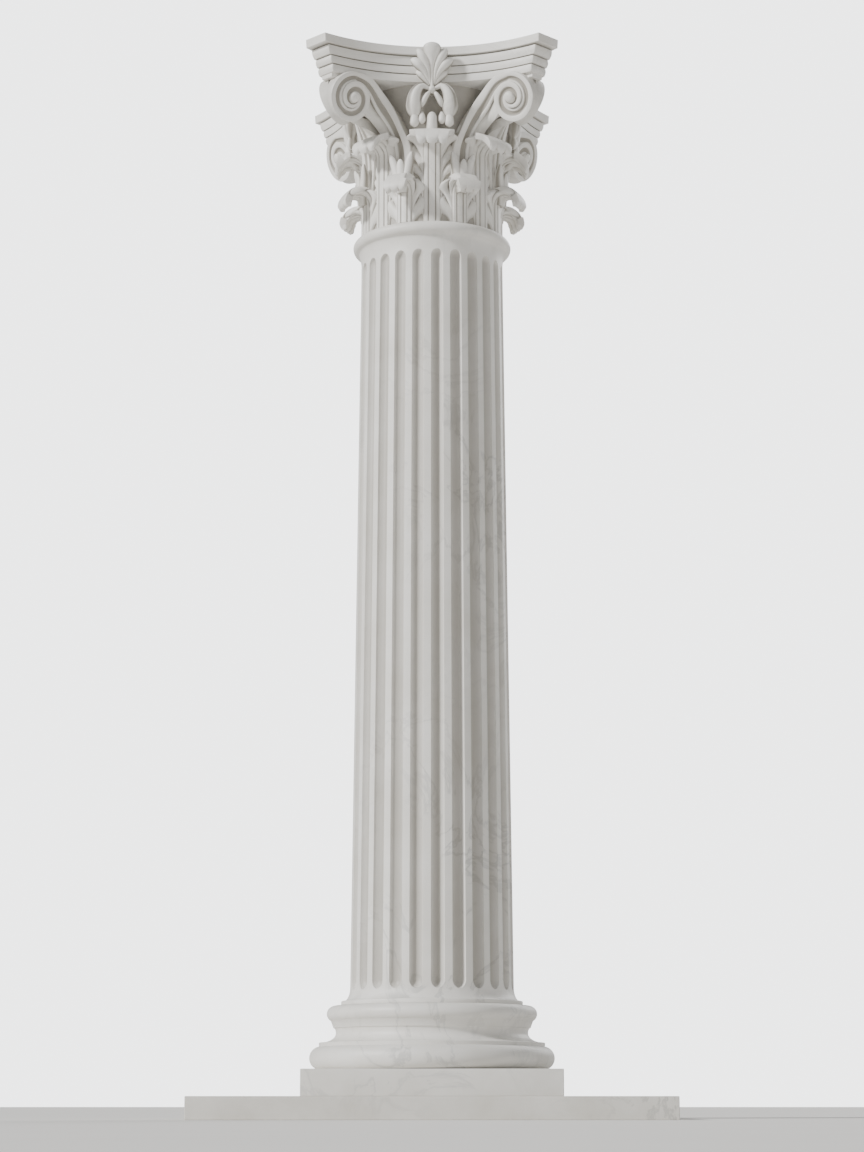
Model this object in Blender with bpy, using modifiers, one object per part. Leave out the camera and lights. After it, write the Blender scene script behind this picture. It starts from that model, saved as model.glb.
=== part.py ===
"""A Corinthian column of white marble, standing on a square slab.

Five blocks are stacked on thin bed joints: the slab, the plinth, the round base, the fluted shaft
with its cincture and astragal, and the capital, which is carved from one block.
All sizes are in metres, +Z is up, and the column's axis rises from the middle of the slab's underside.
"""

import math

import bmesh
import bpy
import numpy as np

# The thin bed joint that parts one block from the next.
BED_JOINT = 0.0003

# The slab and the plinth.
SLAB_SIDE = 1.680
SLAB_HEIGHT = 0.080
PLINTH_HEIGHT = 0.0963
PLINTH_MARGIN = 0.0117  # the plinth's face stands this far outside the lower torus

# The shaft: radii of its plain cylinder, and its mouldings.
SHAFT_LOWER_RADIUS = 0.3050
SHAFT_UPPER_RADIUS = 0.2765
SHAFT_HEIGHT = 2.9590
CINCTURE_PROJECTION = 0.0330
CINCTURE_HEIGHT = 0.0165
CINCTURE_LEDGE = 0.0080
LOWER_APOPHYGE_HEIGHT = 0.0500
UPPER_APOPHYGE_HEIGHT = 0.0560
UPPER_APOPHYGE_PROJECTION = 0.0150
ASTRAGAL_HEIGHT = 0.0480
ASTRAGAL_PROJECTION = 0.0323
ASTRAGAL_BULGE = 0.0240
FLUTE_COUNT = 24
FLUTE_SHARE = 0.645  # a flute's share of its pitch, the rest being the fillet between two flutes
FLUTE_DEPTH_SHARE = 0.80  # a flute's depth as a share of its half width
FLUTE_TURN = math.radians(4.0)  # the shaft stands turned by this much from the abacus
FLUTE_LOWER_END = 0.0540  # above the shaft's foot
FLUTE_UPPER_END = 0.1050  # below the shaft's top
FLUTE_END_STRETCH = 1.25  # a flute's rounded end is this much longer than half its width
FLUTE_CUTTER_LIFT = 0.0300  # how far a flute's cutter stands out of the face
FLUTE_END_SHARES = (0.995, 0.72, 0.0)  # the cutter's sections in a rounded end, from its tip inwards

# The base, from the top down. Each projection is measured from the moulding named.
UPPER_TORUS_PROJECTION = 0.0530  # beyond the cincture
UPPER_TORUS_HEIGHT = 0.0600
UPPER_TORUS_BULGE = 0.0320
UPPER_FILLET_HEIGHT = 0.0215
UPPER_FILLET_SETBACK = 0.0150  # inside the upper torus
UPPER_FILLET_RAKE = 0.0100
SCOTIA_THROAT = 0.0090  # the throat's depth behind the upper fillet
SCOTIA_UPPER_HEIGHT = 0.0195
SCOTIA_LOWER_HEIGHT = 0.0341
LOWER_FILLET_HEIGHT = 0.0135
LOWER_FILLET_PROJECTION = 0.0285  # beyond the upper torus
LOWER_TORUS_HEIGHT = 0.0860
LOWER_TORUS_BULGE = 0.0430
LOWER_TORUS_PROJECTION = 0.0640  # beyond the upper torus

# The capital: the bell and the abacus over it.
BELL_HEIGHT = 0.5487
BELL_SETBACK = 0.0145  # the bell stands this far inside the shaft's upper radius
BELL_LIP_PROJECTION = 0.0380
BELL_FLARE_START = 0.5000  # share of the bell's height
BELL_TENON = 0.0450  # the bell runs this far up into the abacus
ABACUS_HEIGHT = 0.1353
ABACUS_CORNER_REACH = 0.4844  # from the axis to a side's outermost corner, square to that side
ABACUS_HORN_CUT = 0.0781  # how much the cut takes off each side of a horn
ABACUS_HOLLOW = 0.1436  # how far the middle of a side lies behind its corners
ABACUS_MOULDING_DEPTH = 0.0240
HORN_RAKE = 2.40  # a horn's cut face steps in this many times as much as the sides do
HORN_PAD_HEIGHT = 0.0174  # the pad between a horn and its volutes
HORN_PAD_LENGTH = 0.1000
HORN_PAD_INSET = 0.0040  # inside the foot of the horn's cut face
HORN_PAD_SPREAD = 0.0180  # how much wider each side of the pad is at its inner end

# Leaves: heights are shares of the bell's height, other sizes are metres.
LOWER_LEAF_STAND = 0.0150
UPPER_LEAF_STAND = 0.0090
LEAF_FOOT = 0.0030
LOWER_LEAF_RISE = 0.201
LOWER_LEAF_ROLL_REACH = 0.0440
LOWER_LEAF_ROLL_RISE = 0.0420
LOWER_LEAF_ROLL_END = -15.0  # degrees below level at which the roll ends
LOWER_LEAF_HALF_WIDTH = 0.0900
UPPER_LEAF_RISE = 0.527
UPPER_LEAF_ROLL_REACH = 0.0440
UPPER_LEAF_ROLL_RISE = 0.0400
UPPER_LEAF_ROLL_END = -10.0
UPPER_LEAF_HALF_WIDTH = 0.1020
LOWER_LEAF_LOBE_COUNT = 3
UPPER_LEAF_LOBE_COUNT = 4
LOBE_ROW_COUNT = 2  # rows of facets to a lobe
MIDRIB_SHARE = 0.25  # the midrib's share of the leaf's width
LOBE_DEPTH = 0.30  # the notch between two lobes, as a share of the half width
LOBE_SWEEP = 0.13  # how far up the leaf a lobe's outer end lies from its root, as a share of its length
LOBE_SWEEP_START = 0.20  # the sweep grows to its full size over this share at the foot
LOBE_SWEEP_END = 0.30  # and dies out over this share at the tip
LEAF_FREE_FROM = 0.50  # from here on the leaf's back leaves the bell
LEAF_FREE_OVER = 0.20
LEAF_RELIEF = 0.0060  # the midrib stands out and the notches between lobes lie back by this much
LEAF_THICKNESS = 0.0240  # where the leaf rolls away from the bell
LEAF_SINK = 0.0350  # where it climbs the bell, so that its back lies inside it
LEAF_COUNT_IN_ROW = 8

# Volutes: one to each side of every horn.
VOLUTE_RADIUS = 0.0980
VOLUTE_PITCH = 0.0480  # how much one turn takes off the scroll's radius
SCROLL_START = 90.0  # degrees about the eye, 0 pointing to the corner and 90 up
SCROLL_TURN_SPAN = 330.0  # one turn's points run through this much, and its last side closes it
VOLUTE_THICKNESS = 0.0450
VOLUTE_TURN_RISE = 0.0080  # each turn stands this much prouder than the one before
VOLUTE_TILT = math.radians(12.0)
VOLUTE_LEAN = 0.32  # the scroll's face comes forward by this much for each unit of height
VOLUTE_EYE_REACH = 0.4780  # from the axis along the diagonal
VOLUTE_EYE_OFFSET = 0.0500  # from the diagonal plane to the scroll's face
VOLUTE_EYE_DROP = 0.0878  # below the abacus
VOLUTE_EYE_RADIUS = 0.0190
VOLUTE_EYE_RISE = 0.0190  # how far the eye stands proud of the scroll's outer turn
STALK_THICKNESS = 0.0360

# The flower in the middle of each side of the abacus.
FLOWER_CREST_STAND = 0.0560  # how far the flower's crest comes out over the abacus
FLOWER_RELIEF = 0.0300

# How finely round shapes are cut.
SHAFT_SEGMENTS = 48
BASE_SEGMENTS = 30
BELL_SEGMENTS = 16
UPPER_TORUS_STEPS = 5
LOWER_TORUS_STEPS = 6
SCOTIA_UPPER_STEPS = 2
SCOTIA_LOWER_STEPS = 3
ASTRAGAL_STEPS = 4
UPPER_APOPHYGE_STEPS = 2
LOWER_APOPHYGE_STEPS = 2
FLUTE_SECTION_POINTS = 5
ABACUS_SIDE_STEPS = 6
SPINE_STEPS = 100
SCROLL_TURN_COUNT = 2
SCROLL_TURN_POINTS = 9
EYE_CORNERS = 5
PETAL_CORNERS = 4

MARBLE_COLOUR = (0.80, 0.78, 0.73, 1.0)
MARBLE_ROUGHNESS = 0.45


def clear_scene():
    for obj in list(bpy.data.objects):
        bpy.data.objects.remove(obj)


def new_collection(name, hidden=False):
    collection = bpy.data.collections.new(name)
    collection.hide_render = hidden
    bpy.context.scene.collection.children.link(collection)
    return collection


def marble(name, shade):
    """A marble for one block, lighter or darker than the others by a shade."""
    material = bpy.data.materials.new(name)
    material.use_nodes = True
    shader = material.node_tree.nodes["Principled BSDF"]
    red, green, blue, alpha = MARBLE_COLOUR
    shader.inputs["Base Color"].default_value = (red * shade, green * shade, blue * shade, alpha)
    shader.inputs["Roughness"].default_value = MARBLE_ROUGHNESS
    shader.inputs["Metallic"].default_value = 0.0
    return material


def mesh_object(name, points, faces, collection):
    """An object made of points and faces, with every face turned outwards."""
    mesh = bpy.data.meshes.new(name)
    mesh.from_pydata([tuple(p) for p in points], [], [tuple(f) for f in faces])
    work = bmesh.new()
    work.from_mesh(mesh)
    bmesh.ops.recalc_face_normals(work, faces=work.faces)
    work.to_mesh(mesh)
    work.free()
    mesh.validate()
    obj = bpy.data.objects.new(name, mesh)
    collection.objects.link(obj)
    return obj


def block(name, side, height, floor, collection):
    """A square block that stands on the height given by floor."""
    bpy.ops.mesh.primitive_cube_add(size=1.0, location=(0.0, 0.0, 0.0))
    obj = bpy.context.object
    obj.name = name
    obj.data.name = name
    obj.scale = (side, side, height)
    bpy.ops.object.transform_apply(location=False, rotation=False, scale=True)
    obj.location.z = floor + height / 2
    for old in list(obj.users_collection):
        old.objects.unlink(obj)
    collection.objects.link(obj)
    return obj


def arc(centre, radii, start, end, steps):
    """Points of an elliptical arc in the profile's plane, from one angle in degrees to another."""
    angles = np.radians(np.linspace(start, end, steps + 1))
    return [(centre[0] + radii[0] * math.cos(a), centre[1] + radii[1] * math.sin(a)) for a in angles]


def turned(name, profile, segments, floor, collection, turn=0.0):
    """A solid turned round the axis from a profile of (radius, height) that runs from top to bottom."""
    points = [(0.0, profile[0][1])] + list(profile) + [(0.0, profile[-1][1])]
    mesh = bpy.data.meshes.new(name)
    edges = [(i, i + 1) for i in range(len(points) - 1)]
    mesh.from_pydata([(radius, 0.0, height) for radius, height in points], edges, [])
    obj = bpy.data.objects.new(name, mesh)
    collection.objects.link(obj)
    screw = obj.modifiers.new("Turn", "SCREW")
    screw.axis = "Z"
    screw.angle = math.tau
    screw.steps = segments
    screw.render_steps = segments
    screw.use_merge_vertices = True
    screw.merge_threshold = 0.0001
    screw.use_normal_calculate = False
    obj.location.z = floor
    obj.rotation_euler.z = turn
    return obj


def union(obj, collection):
    """Joins everything in a collection to an object."""
    joined = obj.modifiers.new("Join carving", "BOOLEAN")
    joined.operation = "UNION"
    joined.operand_type = "COLLECTION"
    joined.collection = collection
    joined.solver = "EXACT"


def hide_helpers(collection):
    for obj in collection.objects:
        obj.hide_render = True
        obj.display_type = "WIRE"


def grid_faces(rows, columns, first=0):
    """The quads of a grid of points stored row by row."""
    return [
        (first + i * columns + j, first + i * columns + j + 1,
         first + (i + 1) * columns + j + 1, first + (i + 1) * columns + j)
        for i in range(rows - 1)
        for j in range(columns - 1)
    ]


def closed_shell(front, back):
    """Points and faces of a plate between a front grid and a back grid with as many rows."""
    rows, columns = front.shape[:2]
    behind = back.shape[1]
    first = rows * columns
    faces = grid_faces(rows, columns) + grid_faces(rows, behind, first)
    for i in range(rows - 1):
        faces.append((i * columns, (i + 1) * columns, first + (i + 1) * behind, first + i * behind))
        faces.append((i * columns + columns - 1, (i + 2) * columns - 1,
                      first + (i + 2) * behind - 1, first + (i + 1) * behind - 1))
    for i in (0, rows - 1):
        faces.append(tuple(i * columns + j for j in range(columns))
                     + tuple(first + i * behind + j for j in reversed(range(behind))))
    return np.concatenate([front.reshape(-1, 3), back.reshape(-1, 3)]), faces


def swept(sections):
    """Points and faces of a closed tube through sections, an array of (section, corner, 3)."""
    count, corners = sections.shape[:2]
    faces = [
        (i * corners + j, i * corners + (j + 1) % corners,
         (i + 1) * corners + (j + 1) % corners, (i + 1) * corners + j)
        for i in range(count - 1)
        for j in range(corners)
    ]
    faces.append(tuple(range(corners)))
    faces.append(tuple((count - 1) * corners + j for j in range(corners)))
    return sections.reshape(-1, 3), faces


def turned_about_axis(points, angle):
    cosine, sine = math.cos(angle), math.sin(angle)
    turn = np.array([[cosine, sine, 0.0], [-sine, cosine, 0.0], [0.0, 0.0, 1.0]])
    return points @ turn


def make_base(floor, radii, collection):
    """The round base: two toruses with a scotia between them, each edged by a fillet."""
    upper_fillet = radii["upper_torus"] - UPPER_FILLET_SETBACK
    scotia_top = upper_fillet - UPPER_FILLET_RAKE
    throat = scotia_top - SCOTIA_THROAT
    lower_fillet = radii["upper_torus"] + LOWER_FILLET_PROJECTION
    lower_torus_middle = radii["lower_torus"] - LOWER_TORUS_BULGE
    upper_torus_middle = radii["upper_torus"] - UPPER_TORUS_BULGE

    torus_top = LOWER_TORUS_HEIGHT
    fillet_top = torus_top + LOWER_FILLET_HEIGHT
    throat_height = fillet_top + SCOTIA_LOWER_HEIGHT
    scotia_top_height = throat_height + SCOTIA_UPPER_HEIGHT
    upper_torus_foot = scotia_top_height + UPPER_FILLET_HEIGHT
    top = upper_torus_foot + UPPER_TORUS_HEIGHT

    upper_middle_height = upper_torus_foot + UPPER_TORUS_HEIGHT / 2
    meeting = math.degrees(math.acos((upper_fillet - upper_torus_middle) / UPPER_TORUS_BULGE))
    lower_meeting = math.degrees(math.acos((lower_fillet - lower_torus_middle) / LOWER_TORUS_BULGE))
    profile = arc((upper_torus_middle, upper_middle_height),
                  (UPPER_TORUS_BULGE, UPPER_TORUS_HEIGHT / 2), 90, -meeting, UPPER_TORUS_STEPS)
    profile.append((scotia_top, scotia_top_height))
    profile += arc((scotia_top, throat_height), (SCOTIA_THROAT, SCOTIA_UPPER_HEIGHT),
                   90, 180, SCOTIA_UPPER_STEPS)[1:]
    profile += arc((lower_fillet, throat_height),
                   (lower_fillet - throat, SCOTIA_LOWER_HEIGHT), 180, 270, SCOTIA_LOWER_STEPS)[1:]
    profile += arc((lower_torus_middle, LOWER_TORUS_HEIGHT / 2),
                   (LOWER_TORUS_BULGE, LOWER_TORUS_HEIGHT / 2), lower_meeting, -90, LOWER_TORUS_STEPS)
    return turned("base", profile, BASE_SEGMENTS, floor, collection), top


def flute_cutter(index, radii, floor, collection):
    """One flute's cutter: half an ellipse wide and deep, with rounded ends, along the tapering face."""
    across = np.radians(np.linspace(0.0, 180.0, FLUTE_SECTION_POINTS))
    foot_height = FLUTE_LOWER_END
    top_height = SHAFT_HEIGHT - FLUTE_UPPER_END
    taper_foot = CINCTURE_HEIGHT + LOWER_APOPHYGE_HEIGHT
    taper_top = SHAFT_HEIGHT - ASTRAGAL_HEIGHT - UPPER_APOPHYGE_HEIGHT
    pitch = math.tau / FLUTE_COUNT
    sections = []
    ends = [(share, False) for share in FLUTE_END_SHARES]
    ends += [(share, True) for share in reversed(FLUTE_END_SHARES)]
    for along, upper in ends:
        radius_here = radii["shaft_upper"] if upper else radii["shaft_lower"]
        half_width = radius_here * math.sin(pitch * FLUTE_SHARE / 2)
        run = half_width * FLUTE_END_STRETCH
        height = top_height - run * (1 - along) if upper else foot_height + run * (1 - along)
        share = (height - taper_foot) / (taper_top - taper_foot)
        face = radii["shaft_lower"] + (radii["shaft_upper"] - radii["shaft_lower"]) * share
        size = math.sqrt(1.0 - along * along)
        sink = half_width * FLUTE_DEPTH_SHARE
        inner = [
            (face - sink * size * math.sin(a), -half_width * size * math.cos(a), height) for a in across
        ]
        outside = face + FLUTE_CUTTER_LIFT
        sections.append([(outside, -half_width * size, height)] + inner
                        + [(outside, half_width * size, height)])
    points, faces = swept(np.array(sections))
    points = turned_about_axis(points, FLUTE_TURN - math.pi / 2 + index * pitch)
    points[:, 2] += floor
    return mesh_object(f"flute_cutter_{index:02d}", points, faces, collection)


def make_shaft(floor, radii, collection, cutters):
    """The shaft: cincture, apophyge, tapering face, upper apophyge and astragal, with its flutes cut."""
    upper_start = SHAFT_HEIGHT - ASTRAGAL_HEIGHT - UPPER_APOPHYGE_HEIGHT
    astragal_foot = SHAFT_HEIGHT - ASTRAGAL_HEIGHT
    neck = radii["shaft_upper"] + UPPER_APOPHYGE_PROJECTION
    astragal_middle = radii["shaft_upper"] + ASTRAGAL_PROJECTION - ASTRAGAL_BULGE
    meeting = math.degrees(math.acos((neck - astragal_middle) / ASTRAGAL_BULGE))
    ledge = radii["cincture"] - CINCTURE_LEDGE
    profile = arc((astragal_middle, SHAFT_HEIGHT - ASTRAGAL_HEIGHT / 2),
                  (ASTRAGAL_BULGE, ASTRAGAL_HEIGHT / 2), 90, -meeting, ASTRAGAL_STEPS)
    profile += arc((neck, upper_start), (UPPER_APOPHYGE_PROJECTION, astragal_foot - upper_start),
                   90, 180, UPPER_APOPHYGE_STEPS)[1:]
    profile += arc((ledge, CINCTURE_HEIGHT + LOWER_APOPHYGE_HEIGHT),
                   (ledge - radii["shaft_lower"], LOWER_APOPHYGE_HEIGHT), 180, 270,
                   LOWER_APOPHYGE_STEPS)
    profile += [(radii["cincture"], CINCTURE_HEIGHT), (radii["cincture"], 0.0)]
    shaft = turned("shaft", profile, SHAFT_SEGMENTS, floor, collection, FLUTE_TURN)
    for index in range(FLUTE_COUNT):
        flute_cutter(index, radii, floor, cutters)
    cut = shaft.modifiers.new("Cut flutes", "BOOLEAN")
    cut.operation = "DIFFERENCE"
    cut.operand_type = "COLLECTION"
    cut.collection = cutters
    cut.solver = "EXACT"
    return shaft


def bell_radius(height, radii):
    """The bell's radius at a height above its foot: straight, then flaring out to its lip."""
    start = BELL_FLARE_START * BELL_HEIGHT
    share = np.clip((np.asarray(height, float) - start) / (BELL_HEIGHT - start), 0.0, 1.0)
    return radii["bell"] + BELL_LIP_PROJECTION * share**2


def make_bell(floor, radii, collection):
    heights = BELL_HEIGHT * np.array([1.0, 0.88, 0.75, BELL_FLARE_START, 0.0])
    heights[0] += BELL_TENON
    profile = [(float(bell_radius(h, radii)), float(h)) for h in heights]
    return turned("capital", profile, BELL_SEGMENTS, floor, collection)


def abacus_outline(side_step, horn_step):
    """The abacus in plan: four hollow sides and four cut horns, stepped in from the top moulding."""
    middle_reach = ABACUS_CORNER_REACH - ABACUS_HOLLOW
    half_chord = ABACUS_CORNER_REACH - ABACUS_HORN_CUT
    hollow_radius = (half_chord**2 + ABACUS_HOLLOW**2) / (2 * ABACUS_HOLLOW)
    centre = middle_reach + hollow_radius
    radius = hollow_radius + side_step
    cut = ABACUS_CORNER_REACH + half_chord - math.sqrt(2) * horn_step - centre
    corner = (cut + math.sqrt(2 * radius**2 - cut**2)) / 2
    across = np.linspace(-corner, corner, ABACUS_SIDE_STEPS + 1)
    side = np.stack([across, -(centre - np.sqrt(radius**2 - across**2)), np.zeros_like(across)], axis=1)
    return np.concatenate([turned_about_axis(side, k * math.pi / 2) for k in range(4)])


# The abacus's mouldings from the bottom up: share of its height, share of the moulding's depth.
ABACUS_MOULDINGS = (
    (0.00, 1.00), (0.225, 0.93), (0.241, 0.82), (0.46, 0.74), (0.476, 0.60), (0.73, 0.44),
    (0.748, 0.24), (0.765, 0.04), (1.00, 0.00),
)


def make_abacus(floor, collection):
    """The abacus: its plan at each moulding's height, joined ring to ring."""
    rings = []
    for height_share, depth_share in ABACUS_MOULDINGS:
        step = ABACUS_MOULDING_DEPTH * depth_share
        ring = abacus_outline(step, step * HORN_RAKE)
        ring[:, 2] = floor + BELL_HEIGHT + ABACUS_HEIGHT * height_share
        rings.append(ring)
    points, faces = swept(np.array(rings))
    return mesh_object("abacus_block", points, faces, collection)


def make_horn_pad(corner, floor, collection):
    """The pad under a horn: its outer end follows the horn's cut face and it widens inwards."""
    foot_step = ABACUS_MOULDING_DEPTH * HORN_RAKE
    half_cut = ABACUS_HORN_CUT / math.sqrt(2)
    end = (2 * ABACUS_CORNER_REACH - ABACUS_HORN_CUT) / math.sqrt(2) - foot_step - HORN_PAD_INSET
    half_end = half_cut - ABACUS_MOULDING_DEPTH - HORN_PAD_INSET
    top = floor + BELL_HEIGHT + HORN_PAD_INSET
    plan = [(end, -half_end), (end, half_end),
            (end - HORN_PAD_LENGTH, half_end + HORN_PAD_SPREAD),
            (end - HORN_PAD_LENGTH, -half_end - HORN_PAD_SPREAD)]
    rings = [[(x, y, height) for x, y in plan] for height in (top - HORN_PAD_INSET - HORN_PAD_HEIGHT, top)]
    points, faces = swept(np.array(rings))
    points = turned_about_axis(points, math.pi / 4 + corner * math.pi / 2)
    return mesh_object(f"horn_pad_{corner}", points, faces, collection)


def leaf_spine(foot, rise, stand, reach, roll_rise, end_degrees, radii):
    """A leaf's middle line: up along the bell, then rolling outwards and down on an ellipse.

    Returns radii, heights and their outward normals at even steps of its length."""
    climb = np.linspace(foot, rise, SPINE_STEPS)
    root = bell_radius(rise, radii) + stand
    angles = np.radians(np.linspace(180.0, end_degrees, SPINE_STEPS))[1:]
    radius = np.concatenate([bell_radius(climb, radii) + stand, root + reach + reach * np.cos(angles)])
    height = np.concatenate([climb, rise + roll_rise * np.sin(angles)])
    run = np.concatenate([[0.0], np.cumsum(np.hypot(np.diff(radius), np.diff(height)))])
    even = np.linspace(0.0, 1.0, SPINE_STEPS + 1)
    radius = np.interp(even * run[-1], run, radius)
    height = np.interp(even * run[-1], run, height)
    slope_r, slope_z = np.gradient(radius), np.gradient(height)
    length = np.hypot(slope_r, slope_z)
    return even, radius, height, slope_z / length, -slope_r / length


def make_leaf(name, azimuth, spine, half_width, widths, lobes, floor, collection):
    """An acanthus leaf: rounded lobes sweep up from its midrib, and its top rolls over.

    A point's place is its row's lobe phase and its share of the half width. Rows follow the lobes."""
    even, radius, height, normal_r, normal_z = spine
    rows = lobes * LOBE_ROW_COUNT + 1
    across = np.array([-1.0, -MIDRIB_SHARE, MIDRIB_SHARE, 1.0])
    row = np.linspace(0.0, 1.0, rows)[:, None]
    sweep = LOBE_SWEEP * np.clip(row / LOBE_SWEEP_START, 0, 1) * np.clip((1 - row) / LOBE_SWEEP_END, 0, 1)
    along = np.clip(row + sweep * np.abs(across) ** 1.3, 0.0, 1.0)
    phase = 2 * (row * lobes - np.floor(row * lobes + 1e-6)) - 1
    notch = np.abs(phase) ** 3
    edge = np.abs(across) == 1.0
    envelope = half_width * np.interp(along, *np.array(widths).T)
    sideways = across * envelope * (1 - LOBE_DEPTH * notch * edge)
    lift = LEAF_RELIEF * (~edge - notch * edge)
    r = np.interp(along, even, radius)
    z = np.interp(along, even, height)
    nr = np.interp(along, even, normal_r)
    nz = np.interp(along, even, normal_z)

    def placed(offset):
        here_r = r + nr * offset
        here_z = z + nz * offset
        angle = azimuth + sideways / r
        return np.stack([here_r * np.sin(angle), -here_r * np.cos(angle), here_z + floor], axis=2)

    rolled = np.clip((along - LEAF_FREE_FROM) / LEAF_FREE_OVER, 0.0, 1.0)
    front = placed(lift)
    back = placed(-LEAF_THICKNESS * rolled - LEAF_SINK * (1 - rolled))[:, [0, -1]]
    points, faces = closed_shell(front, back)
    return mesh_object(name, points, faces, collection)


# A leaf's width along its length: share of its length, share of its half width.
LOWER_WIDTHS = ((0.0, 0.86), (0.30, 1.0), (0.52, 0.95), (0.70, 0.82), (0.88, 0.62), (1.0, 0.36))
UPPER_WIDTHS = ((0.0, 0.40), (0.35, 0.60), (0.55, 0.90), (0.70, 0.98), (0.80, 1.0), (0.88, 0.70),
                (0.95, 0.56), (1.0, 0.34))


def make_leaves(floor, radii, collection):
    lower = leaf_spine(LEAF_FOOT, LOWER_LEAF_RISE * BELL_HEIGHT, LOWER_LEAF_STAND, LOWER_LEAF_ROLL_REACH,
                       LOWER_LEAF_ROLL_RISE, LOWER_LEAF_ROLL_END, radii)
    upper = leaf_spine(LEAF_FOOT, UPPER_LEAF_RISE * BELL_HEIGHT, UPPER_LEAF_STAND, UPPER_LEAF_ROLL_REACH,
                       UPPER_LEAF_ROLL_RISE, UPPER_LEAF_ROLL_END, radii)
    pitch = math.tau / LEAF_COUNT_IN_ROW
    for k in range(LEAF_COUNT_IN_ROW):
        between = (k + 0.5) * pitch
        make_leaf(f"lower_leaf_{k}", between, lower, LOWER_LEAF_HALF_WIDTH, LOWER_WIDTHS,
                  LOWER_LEAF_LOBE_COUNT, floor, collection)
        make_leaf(f"upper_leaf_{k}", k * pitch, upper, UPPER_LEAF_HALF_WIDTH, UPPER_WIDTHS,
                  UPPER_LEAF_LOBE_COUNT, floor, collection)


def scroll_radius(degrees):
    """The scroll's outer radius, which shrinks evenly as the angle falls below 0 degrees."""
    return VOLUTE_RADIUS + VOLUTE_PITCH * min(degrees, 0.0) / 360.0


class VolutePlace:
    """Where one volute stands: its eye and the three directions of its face, for one corner and side."""

    def __init__(self, corner, side, floor):
        diagonal_angle = math.pi / 4 + corner * math.pi / 2
        diagonal = np.array([math.sin(diagonal_angle), -math.cos(diagonal_angle), 0.0])
        square = side * np.array([diagonal[1], -diagonal[0], 0.0])
        self.outward = math.cos(VOLUTE_TILT) * diagonal - math.sin(VOLUTE_TILT) * square
        self.face = math.cos(VOLUTE_TILT) * square + math.sin(VOLUTE_TILT) * diagonal
        self.up = np.array([0.0, 0.0, 1.0])
        self.eye = VOLUTE_EYE_REACH * diagonal + VOLUTE_EYE_OFFSET * square
        self.eye[2] = floor + BELL_HEIGHT - VOLUTE_EYE_DROP
        self.stalk_turn = diagonal_angle
        self.side = side

    def at(self, radius, degrees, proud):
        angle = math.radians(degrees)
        height = radius * math.sin(angle)
        return (self.eye + self.outward * radius * math.cos(angle) + self.up * height
                + self.face * (proud + VOLUTE_LEAN * height))


# The stalk's two edges below the scroll: azimuth from the diagonal in degrees, distance from the bell,
# and height as a share of the bell's.
STALK_OUTER = ((-29.0, 0.018, 0.27), (-28.0, 0.024, 0.541), (-23.5, 0.040, 0.672), (-19.0, 0.060, 0.8145))
STALK_INNER = ((-13.0, 0.014, 0.27), (-8.0, 0.018, 0.520), (-4.4, 0.026, 0.627), (-2.4, 0.040, 0.700))
# From there the edges run to the scroll: distance from its eye, angle about its eye.
STALK_OUTER_LEAD = ((0.1387, 161.0), (0.1120, 125.0), (0.0900, 92.0))
STALK_INNER_LEAD = ((0.0830, 212.0), (0.0550, 160.0), (0.0420, 100.0))
# The eye's rings from its front to its back: share of its radius, share of its rise.
EYE_RINGS = ((0.65, 1.0), (1.0, 0.65), (1.0, -1.0))


def stalk_point(place, edge, floor, radii):
    azimuth, stand, height_share = edge
    height = height_share * BELL_HEIGHT
    radius = float(bell_radius(height, radii)) + stand
    angle = place.stalk_turn + place.side * math.radians(azimuth)
    return np.array([radius * math.sin(angle), -radius * math.cos(angle), floor + height])


def make_volute(corner, side, floor, radii, collection):
    """A volute: the scroll's turns, each prouder than the last, its eye, and the stalk that feeds it."""
    place = VolutePlace(corner, side, floor)
    name = f"volute_{corner}_{'right' if side > 0 else 'left'}"
    for turn in range(SCROLL_TURN_COUNT):
        degrees = SCROLL_START - 360.0 * turn - np.linspace(0.0, SCROLL_TURN_SPAN, SCROLL_TURN_POINTS)
        front = [place.at(scroll_radius(d), d, VOLUTE_TURN_RISE * turn) for d in degrees]
        back = [place.at(scroll_radius(d), d, -VOLUTE_THICKNESS / (turn + 1)) for d in degrees]
        points, faces = swept(np.array([front, back]))
        mesh_object(f"{name}_turn_{turn}", points, faces, collection)
    around = np.linspace(0.0, 360.0, EYE_CORNERS, endpoint=False)
    eye = [[place.at(VOLUTE_EYE_RADIUS * share, d, VOLUTE_EYE_RISE * rise) for d in around]
           for share, rise in EYE_RINGS]
    points, faces = swept(np.array(eye))
    mesh_object(f"{name}_eye", points, faces, collection)

    sunk = -VOLUTE_TURN_RISE / 4
    outer = [stalk_point(place, edge, floor, radii) for edge in STALK_OUTER]
    inner = [stalk_point(place, edge, floor, radii) for edge in STALK_INNER]
    outer += [place.at(radius, degrees, sunk) for radius, degrees in STALK_OUTER_LEAD]
    inner += [place.at(radius, degrees, sunk) for radius, degrees in STALK_INNER_LEAD]
    outer, inner = np.array(outer), np.array(inner)
    along = np.gradient((outer + inner) / 2, axis=0)
    square = np.cross(along, inner - outer)
    square *= side / np.linalg.norm(square, axis=1)[:, None]
    behind = square * STALK_THICKNESS
    sections = np.stack([outer, inner, inner + behind, outer + behind], axis=1)
    points, faces = swept(sections)
    mesh_object(f"{name}_stalk", points, faces, collection)


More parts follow.
